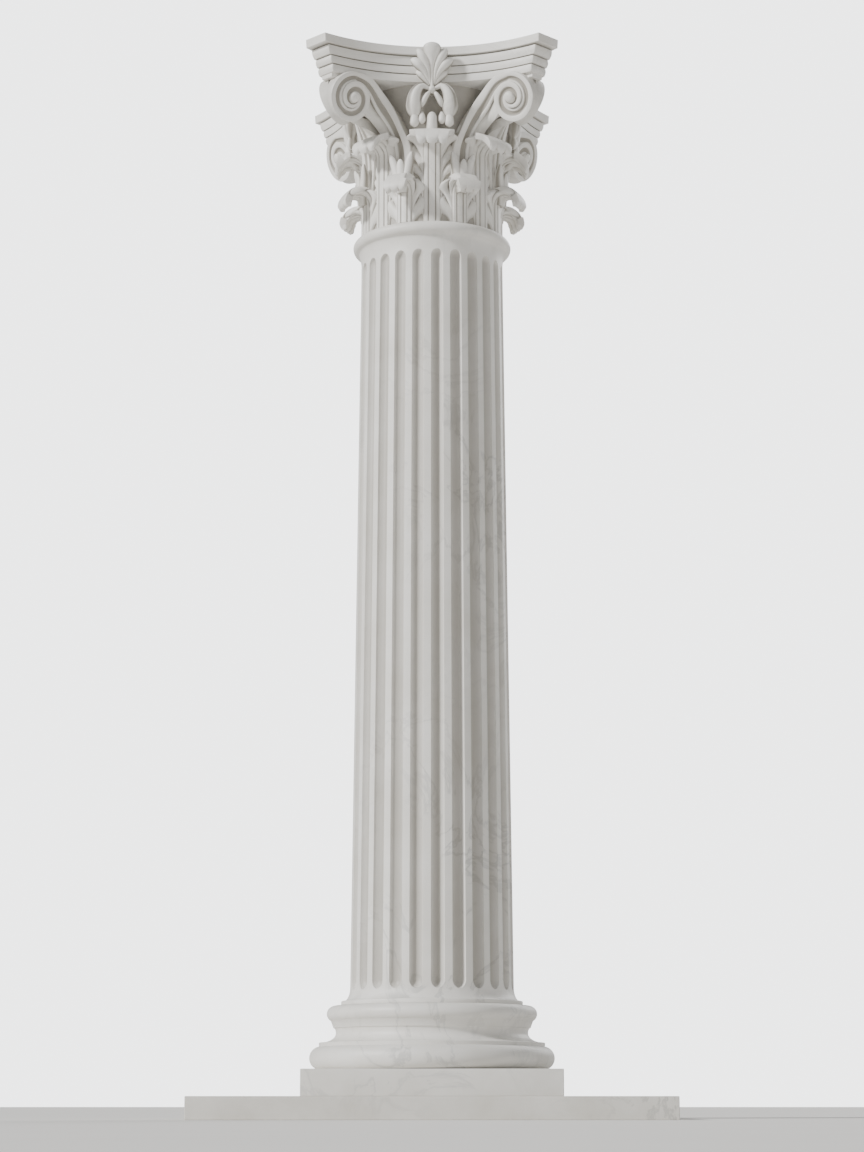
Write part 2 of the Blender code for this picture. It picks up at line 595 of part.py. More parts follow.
def make_petal(name, path, widths, depths, azimuth, collection):
    """A petal: an oval section that swells and shrinks along a path of (sideways, reach, height)."""
    path = np.array(path, float)
    along = np.gradient(path, axis=0)
    along /= np.linalg.norm(along, axis=1)[:, None]
    outward = np.array([0.0, -1.0, 0.0])
    sideways = np.cross(along, outward)
    sideways /= np.linalg.norm(sideways, axis=1)[:, None]
    angles = np.linspace(0.0, math.tau, PETAL_CORNERS, endpoint=False)
    sections = (
        path[:, None, :]
        + sideways[:, None, :] * (np.array(widths)[:, None] * np.cos(angles))[:, :, None]
        + outward * (np.array(depths)[:, None] * np.sin(angles))[:, :, None]
    )
    points, faces = swept(turned_about_axis(sections.reshape(-1, 3), -azimuth).reshape(sections.shape))
    mesh_object(name, points, faces, collection)


def make_flower(index, floor, collection):
    """The flower on one side of the abacus: a palmette, two folded leaves and a bud on a stem."""
    azimuth = index * math.pi / 2
    face = ABACUS_CORNER_REACH - ABACUS_HOLLOW
    crest = face + FLOWER_CREST_STAND
    sill = face - ABACUS_MOULDING_DEPTH
    under = floor + BELL_HEIGHT
    top = under + ABACUS_HEIGHT
    relief = FLOWER_RELIEF

    def at(x, y, z):
        return (x, -y, z)

    make_petal(f"flower_{index}_crest",
               [at(0, sill, under - 0.056), at(0, face, under + 0.050), at(0, crest - 0.018, top - 0.034),
                at(0, crest, top - 0.004)],
               (0.010, 0.012, 0.036, 0.020), (0.030, relief, 0.028, 0.014), azimuth, collection)
    for side in (-1, 1):
        make_petal(f"flower_{index}_petal_{side}",
                   [at(0.010 * side, sill, under - 0.010), at(0.034 * side, face, under + 0.034),
                    at(0.056 * side, face + 0.024, under + 0.074),
                    at(0.044 * side, face + 0.030, under + 0.106)],
                   (0.010, 0.020, 0.026, 0.010), (0.026, relief, relief, 0.014), azimuth, collection)
        make_petal(f"flower_{index}_fold_{side}",
                   [at(0.002 * side, sill + 0.006, under - 0.040), at(0.048 * side, face, under - 0.020),
                    at(0.072 * side, face, under - 0.064), at(0.064 * side, face - 0.010, under - 0.126),
                    at(0.052 * side, face - 0.014, under - 0.176)],
                   (0.014, 0.022, 0.030, 0.026, 0.014), (0.018, relief, relief, 0.024, 0.012),
                   azimuth, collection)
    make_petal(f"flower_{index}_bud",
               [at(0, sill - 0.020, under - 0.222), at(0, sill, under - 0.180),
                at(0, sill + 0.004, under - 0.136), at(0, face, under - 0.040)],
               (0.022, 0.024, 0.018, 0.010), (0.024, 0.030, 0.026, 0.014), azimuth, collection)


def make_capital(floor, radii, collection, carving):
    """The capital: bell, abacus, leaves, volutes and flowers, joined into one block."""
    capital = make_bell(floor, radii, collection)
    make_abacus(floor, carving)
    make_leaves(floor, radii, carving)
    for corner in range(4):
        for side in (-1, 1):
            make_volute(corner, side, floor, radii, carving)
        make_horn_pad(corner, floor, carving)
        make_flower(corner, floor, carving)
    union(capital, carving)
    return capital


def main():
    clear_scene()
    column = new_collection("roman_column")
    cutters = new_collection("flute_cutters", hidden=True)
    carving = new_collection("capital_carving", hidden=True)

    cincture = SHAFT_LOWER_RADIUS + CINCTURE_PROJECTION
    upper_torus = cincture + UPPER_TORUS_PROJECTION
    radii = {
        "shaft_lower": SHAFT_LOWER_RADIUS,
        "shaft_upper": SHAFT_UPPER_RADIUS,
        "cincture": cincture,
        "upper_torus": upper_torus,
        "lower_torus": upper_torus + LOWER_TORUS_PROJECTION,
        "bell": SHAFT_UPPER_RADIUS - BELL_SETBACK,
    }
    plinth_side = 2 * (radii["lower_torus"] + PLINTH_MARGIN)

    slab = block("slab", SLAB_SIDE, SLAB_HEIGHT, 0.0, column)
    level = SLAB_HEIGHT + BED_JOINT
    plinth = block("plinth", plinth_side, PLINTH_HEIGHT, level, column)
    level += PLINTH_HEIGHT + BED_JOINT
    base, base_height = make_base(level, radii, column)
    level += base_height + BED_JOINT
    shaft = make_shaft(level, radii, column, cutters)
    level += SHAFT_HEIGHT + BED_JOINT
    capital = make_capital(level, radii, column, carving)

    hide_helpers(cutters)
    hide_helpers(carving)
    for obj, shade in ((slab, 0.92), (plinth, 0.98), (base, 1.0), (shaft, 1.0), (capital, 1.02)):
        obj.data.materials.append(marble(f"{obj.name}_marble", shade))
    for obj in (base, shaft):
        obj.data.shade_smooth()
        obj.data.set_sharp_from_angle(angle=math.radians(40.0))


main()
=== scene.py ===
"""A Corinthian column of white marble on a square slab: the fine surfaces that stand for its five blocks.

Every surface is worked out on a grid of two parameters, closed into a shell, and several shells make a
carved block. Lengths are in metres, +Z is up, the front faces -Y and the axis is the column's own."""

import math

import bpy
import numpy as np
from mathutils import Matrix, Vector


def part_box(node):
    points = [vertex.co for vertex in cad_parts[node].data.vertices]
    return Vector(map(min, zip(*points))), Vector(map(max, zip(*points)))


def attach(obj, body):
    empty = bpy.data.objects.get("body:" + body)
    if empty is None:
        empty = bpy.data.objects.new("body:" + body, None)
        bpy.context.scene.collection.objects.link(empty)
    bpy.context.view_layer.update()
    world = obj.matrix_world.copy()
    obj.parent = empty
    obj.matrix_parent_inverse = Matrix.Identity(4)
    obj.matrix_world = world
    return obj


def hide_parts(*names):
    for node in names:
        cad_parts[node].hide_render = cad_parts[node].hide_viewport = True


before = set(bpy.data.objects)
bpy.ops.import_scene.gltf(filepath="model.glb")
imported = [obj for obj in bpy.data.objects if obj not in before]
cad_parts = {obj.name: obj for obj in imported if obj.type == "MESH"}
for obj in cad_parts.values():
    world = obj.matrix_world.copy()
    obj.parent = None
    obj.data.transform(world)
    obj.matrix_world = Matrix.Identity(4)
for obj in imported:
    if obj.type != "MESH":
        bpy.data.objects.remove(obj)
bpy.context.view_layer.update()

# Heights of the blocks, read from the frame.
SLAB_LOW, SLAB_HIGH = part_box("slab")
PLINTH_LOW, PLINTH_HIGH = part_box("plinth")
BASE_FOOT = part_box("base")[0].z
SHAFT_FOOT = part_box("shaft")[0].z
SHAFT_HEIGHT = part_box("shaft")[1].z - SHAFT_FOOT
CAPITAL_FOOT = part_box("capital")[0].z
CAPITAL_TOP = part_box("capital")[1].z
ARRIS = 0.0030  # worn edges are rounded by this much
ARRIS_POINTS = 5
CRISP_FOLD = math.radians(38.0)  # an edge that folds by more than this is shaded crisp
PATH_STEPS = 40  # steps to each point of a path whose length is measured

# The shaft.
SHAFT_LOWER_RADIUS = 0.3050
SHAFT_UPPER_RADIUS = 0.2765
CINCTURE_RADIUS = 0.3380
CINCTURE_HEIGHT = 0.0165
CINCTURE_LEDGE = 0.0080  # the flat of its top, outside the apophyge
LOWER_APOPHYGE_HEIGHT = 0.0500
UPPER_APOPHYGE_HEIGHT = 0.0560
UPPER_APOPHYGE_PROJECTION = 0.0150
ASTRAGAL_HEIGHT = 0.0480
ASTRAGAL_PROJECTION = 0.0323
ASTRAGAL_BULGE = 0.0240
FLUTE_COUNT = 24
FLUTE_SHARE = 0.645  # a flute's share of its pitch
FLUTE_DEPTH_SHARE = 0.80  # its depth as a share of its half width
FLUTE_TURN = math.radians(4.0)
FLUTE_LOWER_END = 0.0540  # above the shaft's foot
FLUTE_UPPER_END = 0.1050  # below its top
FLUTE_END_STRETCH = 1.25  # the ends are this much longer than half circles
FLUTE_TIP_SHARE = 0.12  # above and below the flutes, the columns of one close up to this share of its width
FLUTE_COLUMNS = 13
FLUTE_END_ROWS = 13
FLUTE_LENGTH_ROWS = 16

# The base.
UPPER_TORUS_RADIUS = 0.3910
UPPER_TORUS_HEIGHT = 0.0600
UPPER_TORUS_BULGE = 0.0320
UPPER_FILLET_HEIGHT = 0.0215
UPPER_FILLET_SETBACK = 0.0150
UPPER_FILLET_RAKE = 0.0100
SCOTIA_THROAT = 0.0090
SCOTIA_UPPER_HEIGHT = 0.0195
SCOTIA_LOWER_HEIGHT = 0.0341
LOWER_FILLET_HEIGHT = 0.0135
LOWER_FILLET_RADIUS = 0.4195
LOWER_TORUS_RADIUS = 0.4550
LOWER_TORUS_HEIGHT = 0.0860
LOWER_TORUS_BULGE = 0.0430
BASE_SEGMENTS = 160

# The capital's bell and abacus.
BELL_HEIGHT = 0.5487
BELL_TENON = 0.0450
BELL_RADIUS = 0.2620
BELL_LIP_PROJECTION = 0.0380
BELL_FLARE_START = 0.5000
BELL_ROWS = 16
BELL_SEGMENTS = 96
BELL_SHADE = 0.8  # how much shade is painted on the bell behind its leaves: 0 is open, 1 is deepest
ABACUS_FOOT = CAPITAL_FOOT + BELL_HEIGHT
ABACUS_HEIGHT = CAPITAL_TOP - ABACUS_FOOT
ABACUS_CORNER_REACH = 0.4844
ABACUS_HORN_CUT = 0.0781
ABACUS_HOLLOW = 0.1436
ABACUS_MOULDING_DEPTH = 0.0240
ABACUS_SIDE_STEPS = 48
ABACUS_CORNER_BLUNT = 0.3  # how far a worn corner's middle point lies towards its two neighbours
HORN_RAKE = 2.40  # a horn's end steps in by this many times its sides' step
HORN_PAD_HEIGHT = 0.0174
HORN_PAD_LENGTH = 0.1000
HORN_PAD_INSET = 0.0040
HORN_PAD_SPREAD = 0.0180
# The abacus's bands from the bottom up: share of its height and of the moulding's depth at foot and top.
ABACUS_BANDS = (
    ((0.00, 1.00), (0.241, 0.93)), ((0.241, 0.82), (0.476, 0.74)),
    ((0.476, 0.60), (0.748, 0.44)), ((0.765, 0.04), (1.00, 0.00)),
)
BAND_BULGE = 0.06  # a band swells by this share of the moulding's depth
BAND_ROWS = 7
QUIRK_HEIGHT = 0.0045  # the sunk line above a band
QUIRK_DEPTH = 0.0060

# Leaves. Rise is where a leaf starts to roll over, as a share of the bell's height, and stand its distance
# from the bell. It rolls on an ellipse with half axes reach and roll_rise, down to end_degrees. Rib is half
# its midrib's width. Widths give its outline: share of its length, share of its half width.
LEAF_COUNT_IN_ROW = 8
LEAF_FOOT = 0.0030
LEAF_SPINE_STEPS = 100  # up to the roll, and round it
LOWER_LEAF = {
    "rise": 0.201, "stand": 0.0150, "reach": 0.0370, "roll_rise": 0.0420, "end_degrees": -15.0,
    "half_width": 0.0900, "fingers": 5, "sweep": 0.26, "rib": 0.0300,
    "widths": ((0.0, 0.86), (0.30, 1.0), (0.52, 0.95), (0.63, 0.82), (0.70, 0.60), (0.78, 0.52),
               (0.88, 0.48), (1.0, 0.40)),
    "thickness": 0.0330,
}
UPPER_LEAF = {
    "rise": 0.527, "stand": 0.0090, "reach": 0.0440, "roll_rise": 0.0400, "end_degrees": -10.0,
    "half_width": 0.1020, "fingers": 7, "sweep": 0.16, "rib": 0.0330,
    "widths": ((0.0, 0.40), (0.35, 0.60), (0.55, 0.90), (0.70, 0.98), (0.80, 1.0), (0.86, 0.86),
               (0.91, 0.62), (1.0, 0.54)),
    "thickness": 0.0280,
}
LEAF_SINK = 0.0350  # how far a leaf's back lies inside the bell
LEAF_FREE_FROM = 0.48  # from this share of its length its back leaves the bell
LEAF_FREE_AT = 0.68  # and here it has its own thickness
LEAF_THINNING = 0.6  # its thickness falls by this share at its edge
FINGER_NOTCH = 0.46  # the notch between two fingers, as a share of the half width
FINGER_RELIEF = 0.0180
FINGER_RELIEF_GROWTH = 0.45  # past the midrib the relief grows over this share of the leaf
FINGER_END = 0.999  # keeps a finger's edge from standing upright at the bottom of a notch
SWEEP_GROWTH = (-0.10, 0.15)  # the fingers' sweep grows over this stretch of the leaf
FINGER_ROWS = 11  # to each finger
FINGER_COLUMNS = 14
MIDRIB_SHARE = 0.25
MIDRIB_RELIEF = 0.0070
# The midrib's section: share of its half width, share of its relief.
MIDRIB_SECTION = ((0.0, 1.0), (0.20, 0.98), (0.34, 0.92), (0.42, 0.10), (0.50, 0.80), (0.67, 0.76),
                  (0.84, 0.66), (1.0, -0.2))
# The lines of painted shade in its grooves: share of its half width, spread.
MIDRIB_LINES = ((0.42, 0.09), (1.0, 0.12))
MIDRIB_SHADE = 0.8
EDGE_DROP = 0.0060
# The rolled tip: where it starts and where it starts to close, as shares of the leaf's length; where the
# grooves that part its three lobes lie, as a share of its half width; their depth and how far they cut in.
TIP_START = 0.74
TIP_ROUND = 0.93
TIP_GROOVE = 0.42
TIP_RELIEF = 0.0100
TIP_SCALLOP = 0.045
TIP_LOBE_END = 0.94  # a side lobe's half wave is cut off here by the outline
TIP_LOBE_POWER = 0.35  # below 1, so that the lobes are full and the grooves narrow
TIP_SHUT = 0.995  # a tip stops just short of closing to nothing
LEAF_BACK_SHADE = 0.4  # the back gets this share of the shade painted on the front

# Volutes.
VOLUTE_RADIUS = 0.0980
VOLUTE_PITCH = 0.0480
VOLUTE_THICKNESS = 0.0450
VOLUTE_TURN_RISE = 0.0080  # each turn stands prouder than the last
VOLUTE_TILT = math.radians(12.0)  # its face is turned this far outwards
VOLUTE_LEAN = 0.32  # and leans out by this share of the height above its eye
VOLUTE_EYE_REACH = 0.4780
VOLUTE_EYE_OFFSET = 0.0500
VOLUTE_EYE_DROP = 0.0878
VOLUTE_EYE_RADIUS = 0.0190
VOLUTE_EYE_RISE = 0.0095
VOLUTE_EYE_RINGS = 8
VOLUTE_EYE_CORNERS = 32
SCROLL_START = 90.0  # degrees about the eye
SCROLL_TURNS = 1.9
SCROLL_STEPS = 92
STALK_THICKNESS = 0.0360
STALK_STEPS = 48
STALK_SINK = 0.0020  # a stalk comes to its scroll this far behind the first turn
UNDER_BAND_SETBACK = 0.0120
UNDER_BAND_SWELL = 0.10  # as a share of its width
UNDER_BAND_COLUMNS = 9
BACK_SHADE = 0.5  # how much shade is painted on a ribbon's back
CHANNEL_DEPTH = 0.0080
CHANNEL_SHARE = 0.26  # the channel is never deeper than this share of the ribbon's width
# The ribbon's section from its outer edge to its inner one: shares of its width and of its channel's depth.
RIBBON_SECTION = (
    (0.00, -0.30), (0.03, -0.04), (0.10, 0.06), (0.24, 0.12), (0.37, 0.04), (0.42, -0.10), (0.45, -0.80),
    (0.50, -1.00), (0.64, -1.00), (0.76, -0.90), (0.80, -0.30), (0.84, 0.00), (0.95, 0.00), (1.00, -0.30),
)
# A stalk's edges on the bell: azimuth from the diagonal in degrees, distance from the bell, and height as a
# share of the bell's. From there they run to the scroll: distance from its eye, and angle about it.
STALK_OUTER = ((-29.0, 0.018, 0.27), (-28.0, 0.024, 0.541), (-23.5, 0.040, 0.672), (-19.0, 0.060, 0.8145))
STALK_OUTER_LEAD = ((0.1387, 161.0), (0.1120, 125.0))
STALK_LINE = ((-15.0, 0.018, 0.27), (-14.9, 0.024, 0.552), (-12.6, 0.045, 0.682))
STALK_LINE_LEAD = ((0.1164, 192.0), (0.0700, 151.0))
STALK_INNER = ((-13.0, 0.014, 0.27), (-8.0, 0.018, 0.520), (-4.4, 0.026, 0.627), (-2.4, 0.040, 0.700))
STALK_INNER_LEAD = ((0.0830, 212.0), (0.0550, 160.0), (0.0420, 100.0))
CALYX_AZIMUTH = math.radians(-22.0)
CALYX_ROOT = BELL_RADIUS + 0.0240  # its petals' roots, from the axis

# Petals of the flower and of the calyx.
PETAL_STEPS = 18
PETAL_CORNERS = 32
PETAL_ROUND = 0.72  # a petal's tip closes over the rest of its length
PETAL_TIP = 0.05  # share of its width that is left at the very end
PETAL_LINE_ANGLE = math.radians(128.0)  # where a line is sunk, round the petal's section
PETAL_LINE_SPREAD = 0.22
PETAL_SEAM_SHADE = 1.2  # painted shade along a petal's two sides
PETAL_SEAM_POWER = 6  # the higher, the closer it keeps to them
# A petal's path runs through points given sideways from the middle, up from a foot and out from a root. Its
# half widths and half depths lie along it, and line is the depth of a sunk line. A paired petal has a mirror
# image. The flower's foot is the abacus's, and its root is the abacus's foot in the middle of a side.
FLOWER_ROOT = ABACUS_CORNER_REACH - ABACUS_HOLLOW - ABACUS_MOULDING_DEPTH
FLOWER_PETALS = (
    # The palmette: its tall middle lobe, and three lobes to each side from the top down.
    {"path": ((0, -0.050, 0), (0, 0, 0.006), (0, 0.050, 0.024), (0, 0.094, 0.044),
              (0, ABACUS_HEIGHT - 0.0015, 0.076)),
     "widths": (0.008, 0.008, 0.010, 0.033, 0.054), "depths": (0.020, 0.022, 0.026, 0.034, 0.026)},
    {"path": ((0.007, -0.010, 0.004), (0.017, 0.044, 0.028), (0.038, 0.086, 0.046), (0.056, 0.116, 0.052)),
     "widths": (0.005, 0.010, 0.018, 0.020), "depths": (0.018, 0.022, 0.026, 0.020), "paired": True},
    {"path": ((0.008, -0.012, 0.002), (0.026, 0.028, 0.024), (0.052, 0.058, 0.038), (0.080, 0.080, 0.040)),
     "widths": (0.005, 0.011, 0.019, 0.020), "depths": (0.016, 0.020, 0.024, 0.018), "paired": True},
    {"path": ((0.010, -0.016, 0), (0.026, 0.004, 0.010), (0.044, 0.024, 0.016), (0.060, 0.040, 0.016)),
     "widths": (0.005, 0.009, 0.013, 0.013), "depths": (0.014, 0.018, 0.020, 0.014), "paired": True},
    # The bead under it.
    {"path": ((0, -0.020, 0.012), (0, -0.034, 0.018), (0, -0.048, 0.012)),
     "widths": (0.009, 0.014, 0.014), "depths": (0.010, 0.016, 0.016)},
    # The folded leaves, each with a small leaf inside it and two tassels below.
    {"path": ((0.004, -0.034, 0.004), (0.036, -0.020, 0.012), (0.062, -0.046, 0.014), (0.071, -0.090, 0.008),
              (0.064, -0.146, 0)),
     "widths": (0.008, 0.017, 0.026, 0.031, 0.030), "depths": (0.014, 0.022, 0.027, 0.026, 0.018),
     "line": 0.008, "paired": True},
    {"path": ((0.006, -0.040, 0.006), (0.018, -0.058, 0.016), (0.032, -0.082, 0.012),
              (0.040, -0.104, 0.004)),
     "widths": (0.005, 0.010, 0.012, 0.010), "depths": (0.012, 0.016, 0.016, 0.012), "paired": True},
    {"path": ((0.0665, -0.122, 0), (0.0665, -0.142, 0.002), (0.0665, -0.160, 0.002), (0.0665, -0.182, 0)),
     "widths": (0.006, 0.01615, 0.019, 0.019), "depths": (0.008, 0.014, 0.017, 0.015), "paired": True},
    {"path": ((0.038, -0.122, 0), (0.038, -0.142, 0.002), (0.038, -0.160, 0.002), (0.038, -0.170, 0)),
     "widths": (0.006, 0.01275, 0.015, 0.015), "depths": (0.008, 0.014, 0.017, 0.015), "paired": True},
    # The bud between them.
    {"path": ((0, -0.236, -0.030), (0, -0.200, -0.006), (0, -0.160, 0), (0, -0.121, 0.002)),
     "widths": (0.0246, 0.0240, 0.0210, 0.0210), "depths": (0.024, 0.028, 0.028, 0.022)},
)
# The calyx's foot is the capital's.
CALYX_PETALS = (
    {"path": ((0.006, 0.120, 0), (0.018, 0.180, 0.006), (0.030, 0.232, 0.010), (0.046, 0.274, 0.022)),
     "widths": (0.014, 0.017, 0.018, 0.014), "depths": (0.018, 0.020, 0.018, 0.012), "paired": True},
    {"path": ((0, 0.120, 0), (0, 0.175, 0.012), (0, 0.215, 0.018), (0, 0.248, 0.028)),
     "widths": (0.014, 0.018, 0.019, 0.016), "depths": (0.018, 0.020, 0.018, 0.012)},
)

# Sizes of the marble's patterns in millimetres.
VEIN_SPACING = 385.0
VEINED_PATCH = 900.0
CLOUD_SIZE = 220.0
CHISEL_WAVE = 25.0
GRAIN_SIZE = 4.0  # real grains are half a millimetre; this is as coarse as it needs to be to show
# The colour of the shade painted into the carving's hollows.
PAINTED_SHADE_COLOUR = "#847d70"
WHITE_GROUND = ("#f1efea", "#e4e1da")
GREY_VEIN = "#a9a9a7"
# The stone of each block: the light and dark of its ground, its veins and their strength, the turn of its
# pattern, and how dark the shade painted into its hollows is.
STONES = {
    # Greyer and more veined than the blocks above, so the slab reads as a plainer stone under the column.
    "slab_honed_marble": {"ground": ("#e2dfd8", "#d0ccc3"), "vein": "#9c9b97", "vein_strength": 0.55,
                          "turn": (0.3, 0.2, 0.5), "painted_shade": 0.40},
    # The same white stone three times, each block cut from another place in it, so no vein runs on across
    # a joint. On the shaft, shade painted in the flutes keeps them apart from the fillets in flat light.
    "plinth_honed_marble": {"ground": WHITE_GROUND, "vein": GREY_VEIN, "vein_strength": 0.50,
                            "turn": (0.9, 0.4, 0.1), "painted_shade": 0.40},
    "base_honed_marble": {"ground": WHITE_GROUND, "vein": GREY_VEIN, "vein_strength": 0.50,
                          "turn": (0.2, 1.1, 0.3), "painted_shade": 0.40},
    "shaft_honed_marble": {"ground": WHITE_GROUND, "vein": GREY_VEIN, "vein_strength": 0.55,
                           "turn": (0.5, 0.7, 0.2), "painted_shade": 0.60},
    # The whitest and least veined, as is chosen for carving; much shade painted in its grooves draws the
    # carving.
    "capital_carved_marble": {"ground": ("#f3f1ec", "#e7e4dd"), "vein": "#b4b4b2", "vein_strength": 0.35,
                              "turn": (1.3, 0.2, 0.6), "painted_shade": 0.80},
}
FLOOR_PAINT = ("#eceae6", "#f1efeb")
FLOOR_TONE_SIZE = 650.0  # in millimetres

# Light and camera.
SKY_COLOUR = "#f4f5f6"
SKY_STRENGTH = 0.30
GROUND_STRENGTH = 4.0  # how bright the sky looks behind the column
# Each light's name, the direction it comes from, its spread in degrees and its strength in W/m2.
LIGHTS = (
    ("key_light", (-8.0, -4.5, 5.0), 8.0, 4.0),
    ("fill_light", (6.5, -6.0, 1.5), 40.0, 0.35),
    ("back_light", (4.5, 6.5, 4.0), 30.0, 1.2),
)
FLOOR_REACH = 60.0
CAMERA_DISTANCE = 10.161
CAMERA_HEIGHT = 0.0502
CAMERA_TILT = math.radians(11.0908)
CAMERA_LENS = 84.33
SENSOR_SIZE = 36.0


# Surfaces on grids

def smooth_step(value, low, high):
    """0 below low, 1 above high, and a cubic ease 3t^2 - 2t^3 between them."""
    t = np.clip((value - low) / (high - low), 0.0, 1.0)
    return t * t * (3.0 - 2.0 * t)


def arc(centre, radii, start, end, steps):
    """Points centre + (radii_x cos a, radii_z sin a) for angles from start to end in degrees."""
    angles = np.radians(np.linspace(start, end, steps + 1))
    return np.stack([centre[0] + radii[0] * np.cos(angles), centre[1] + radii[1] * np.sin(angles)], axis=1)


def strip_quads(rows, columns, around):
    """Quads between neighbouring rows of a grid; around joins the last column to the first."""
    index = np.arange(rows * columns).reshape(rows, columns)
    after = np.roll(index, -1, axis=1) if around else index[:, 1:]
    here = index if around else index[:, :-1]
    return np.stack([here[:-1], after[:-1], after[1:], here[1:]], axis=-1).reshape(-1, 4)


def tube(sections):
    """A closed shell through loops of points, an array (loop, point, 3), with a flat cap at each end."""
    loops, corners = sections.shape[:2]
    faces = strip_quads(loops, corners, True).tolist()
    faces.append(list(range(corners))[::-1])
    faces.append(list(range((loops - 1) * corners, loops * corners)))
    return sections.reshape(-1, 3), faces


def plate(front, back):
    """A closed shell between two grids of the same shape, joined along their borders."""
    rows, columns = front.shape[:2]
    count = rows * columns
    index = np.arange(count).reshape(rows, columns)
    border = np.concatenate([index[0, :-1], index[:-1, -1], index[-1, :0:-1], index[:0:-1, 0]])
    after = np.roll(border, -1)
    inner = strip_quads(rows, columns, False)
    faces = np.concatenate([
        inner,
        inner[:, ::-1] + count,
        np.stack([after, border, border + count, after + count], axis=1),
    ])
    return np.concatenate([front.reshape(-1, 3), back.reshape(-1, 3)]), faces.tolist()


def signed_volume(points, faces):
    """Six times the volume inside a shell: the sum of triple products over each face's fan."""
    total = 0.0
    quads = np.array([f for f in faces if len(f) == 4])
    for a, b, c in ((0, 1, 2), (0, 2, 3)):
        p, q, r = points[quads[:, a]], points[quads[:, b]], points[quads[:, c]]
        total += np.einsum("ij,ij->", p, np.cross(q, r))
    for face in faces:
        if len(face) != 4:
            loop = points[face]
            total += np.einsum("ij,ij->", np.broadcast_to(loop[0], loop[1:-1].shape),
                               np.cross(loop[1:-1], loop[2:]))
    return total


def link_object(name, data):
    """An object for a mesh, a lamp or a camera, put into the scene."""
    obj = bpy.data.objects.new(name, data)
    bpy.context.scene.collection.objects.link(obj)
    return obj


class Block:
    """Gathers closed shells into one mesh object, with an attribute that says how hollow each point lies,
    that is how much shade is painted on it.
    """

    def __init__(self, name):
        self.name = name
        self.points = []
        self.faces = []
        self.hollows = []
        self.count = 0

    def add(self, shell, hollow=0.0):
        """Takes in a shell of (points, faces), turned so that its faces point outwards."""
        points, faces = shell
        if signed_volume(points, faces) < 0:
            faces = [face[::-1] for face in faces]
        self.points.append(points)
        self.faces.extend([i + self.count for i in face] for face in faces)
        self.hollows.append(np.broadcast_to(np.asarray(hollow, float), (len(points),)))
        self.count += len(points)

    def build(self):
        mesh = bpy.data.meshes.new(self.name)
        mesh.from_pydata(np.concatenate(self.points), [], self.faces)
        hollow = mesh.attributes.new("hollow", "FLOAT", "POINT")
        hollow.data.foreach_set("value", np.concatenate(self.hollows).astype(np.float32))
        mesh.shade_smooth()
        mesh.set_sharp_from_angle(angle=CRISP_FOLD)
        return link_object(self.name, mesh)


def round_about(points, angle):
    """Points turned by an angle about the column's axis, counter-clockwise from above."""
    cosine, sine = math.cos(angle), math.sin(angle)
    return points @ np.array([[cosine, sine, 0.0], [-sine, cosine, 0.0], [0.0, 0.0, 1.0]])


def smooth_path(points, steps):
    """A Catmull-Rom curve through points: each span is the cubic that meets its neighbours' chords."""
    points = np.asarray(points, float)
    padded = np.concatenate([[2 * points[0] - points[1]], points, [2 * points[-1] - points[-2]]])
    place = np.linspace(0.0, len(points) - 1, steps)
    span = np.minimum(place.astype(int), len(points) - 2)
    t = (place - span)[:, None]
    a, b, c, d = (padded[span + k] for k in range(4))
    return 0.5 * (2 * b + (c - a) * t + (2 * a - 5 * b + 4 * c - d) * t**2 + (3 * b - a - 3 * c + d) * t**3)


def measured_path(points, shares):
    """The smooth path through points, read off at shares of its length."""
    fine = smooth_path(points, PATH_STEPS * len(points))
    run = np.concatenate([[0.0], np.cumsum(np.linalg.norm(np.diff(fine, axis=0), axis=1))])
    return np.stack([np.interp(shares * run[-1], run, fine[:, k]) for k in range(3)], axis=1)


# The square blocks, the base and the shaft

def square_block(name, low, high):
    """A block with a square plan and quarter-round corners, set in by quarter rounds at top and foot."""
    corner = (high.x - low.x) / 2 - ARRIS
    quarter = np.linspace(0.0, math.pi / 2, ARRIS_POINTS)
    lift = ARRIS * (1 - np.cos(quarter))
    inset = ARRIS * (1 - np.sin(quarter))
    insets = np.concatenate([inset, inset[::-1]])[:, None]
    heights = np.concatenate([low.z + lift, high.z - lift[::-1]])[:, None]
    angles = np.concatenate([k * math.pi / 2 + quarter for k in range(4)])
    sign_x = np.repeat([1, -1, -1, 1], len(quarter))
    sign_y = np.repeat([1, 1, -1, -1], len(quarter))
    loops = np.stack([sign_x * corner + (ARRIS - insets) * np.cos(angles),
                      sign_y * corner + (ARRIS - insets) * np.sin(angles),
                      heights + 0 * angles], axis=-1)
    block = Block(name)
    block.add(tube(loops))
    return block.build()


def revolve(profile, segments):
    """Loops of a turned shape: each profile point (radius, height) swept round the axis."""
    angles = np.linspace(0.0, math.tau, segments, endpoint=False)
    radius, height = profile[:, 0:1], profile[:, 1:2]
    return np.stack([radius * np.cos(angles), radius * np.sin(angles), height + 0 * angles], axis=-1)


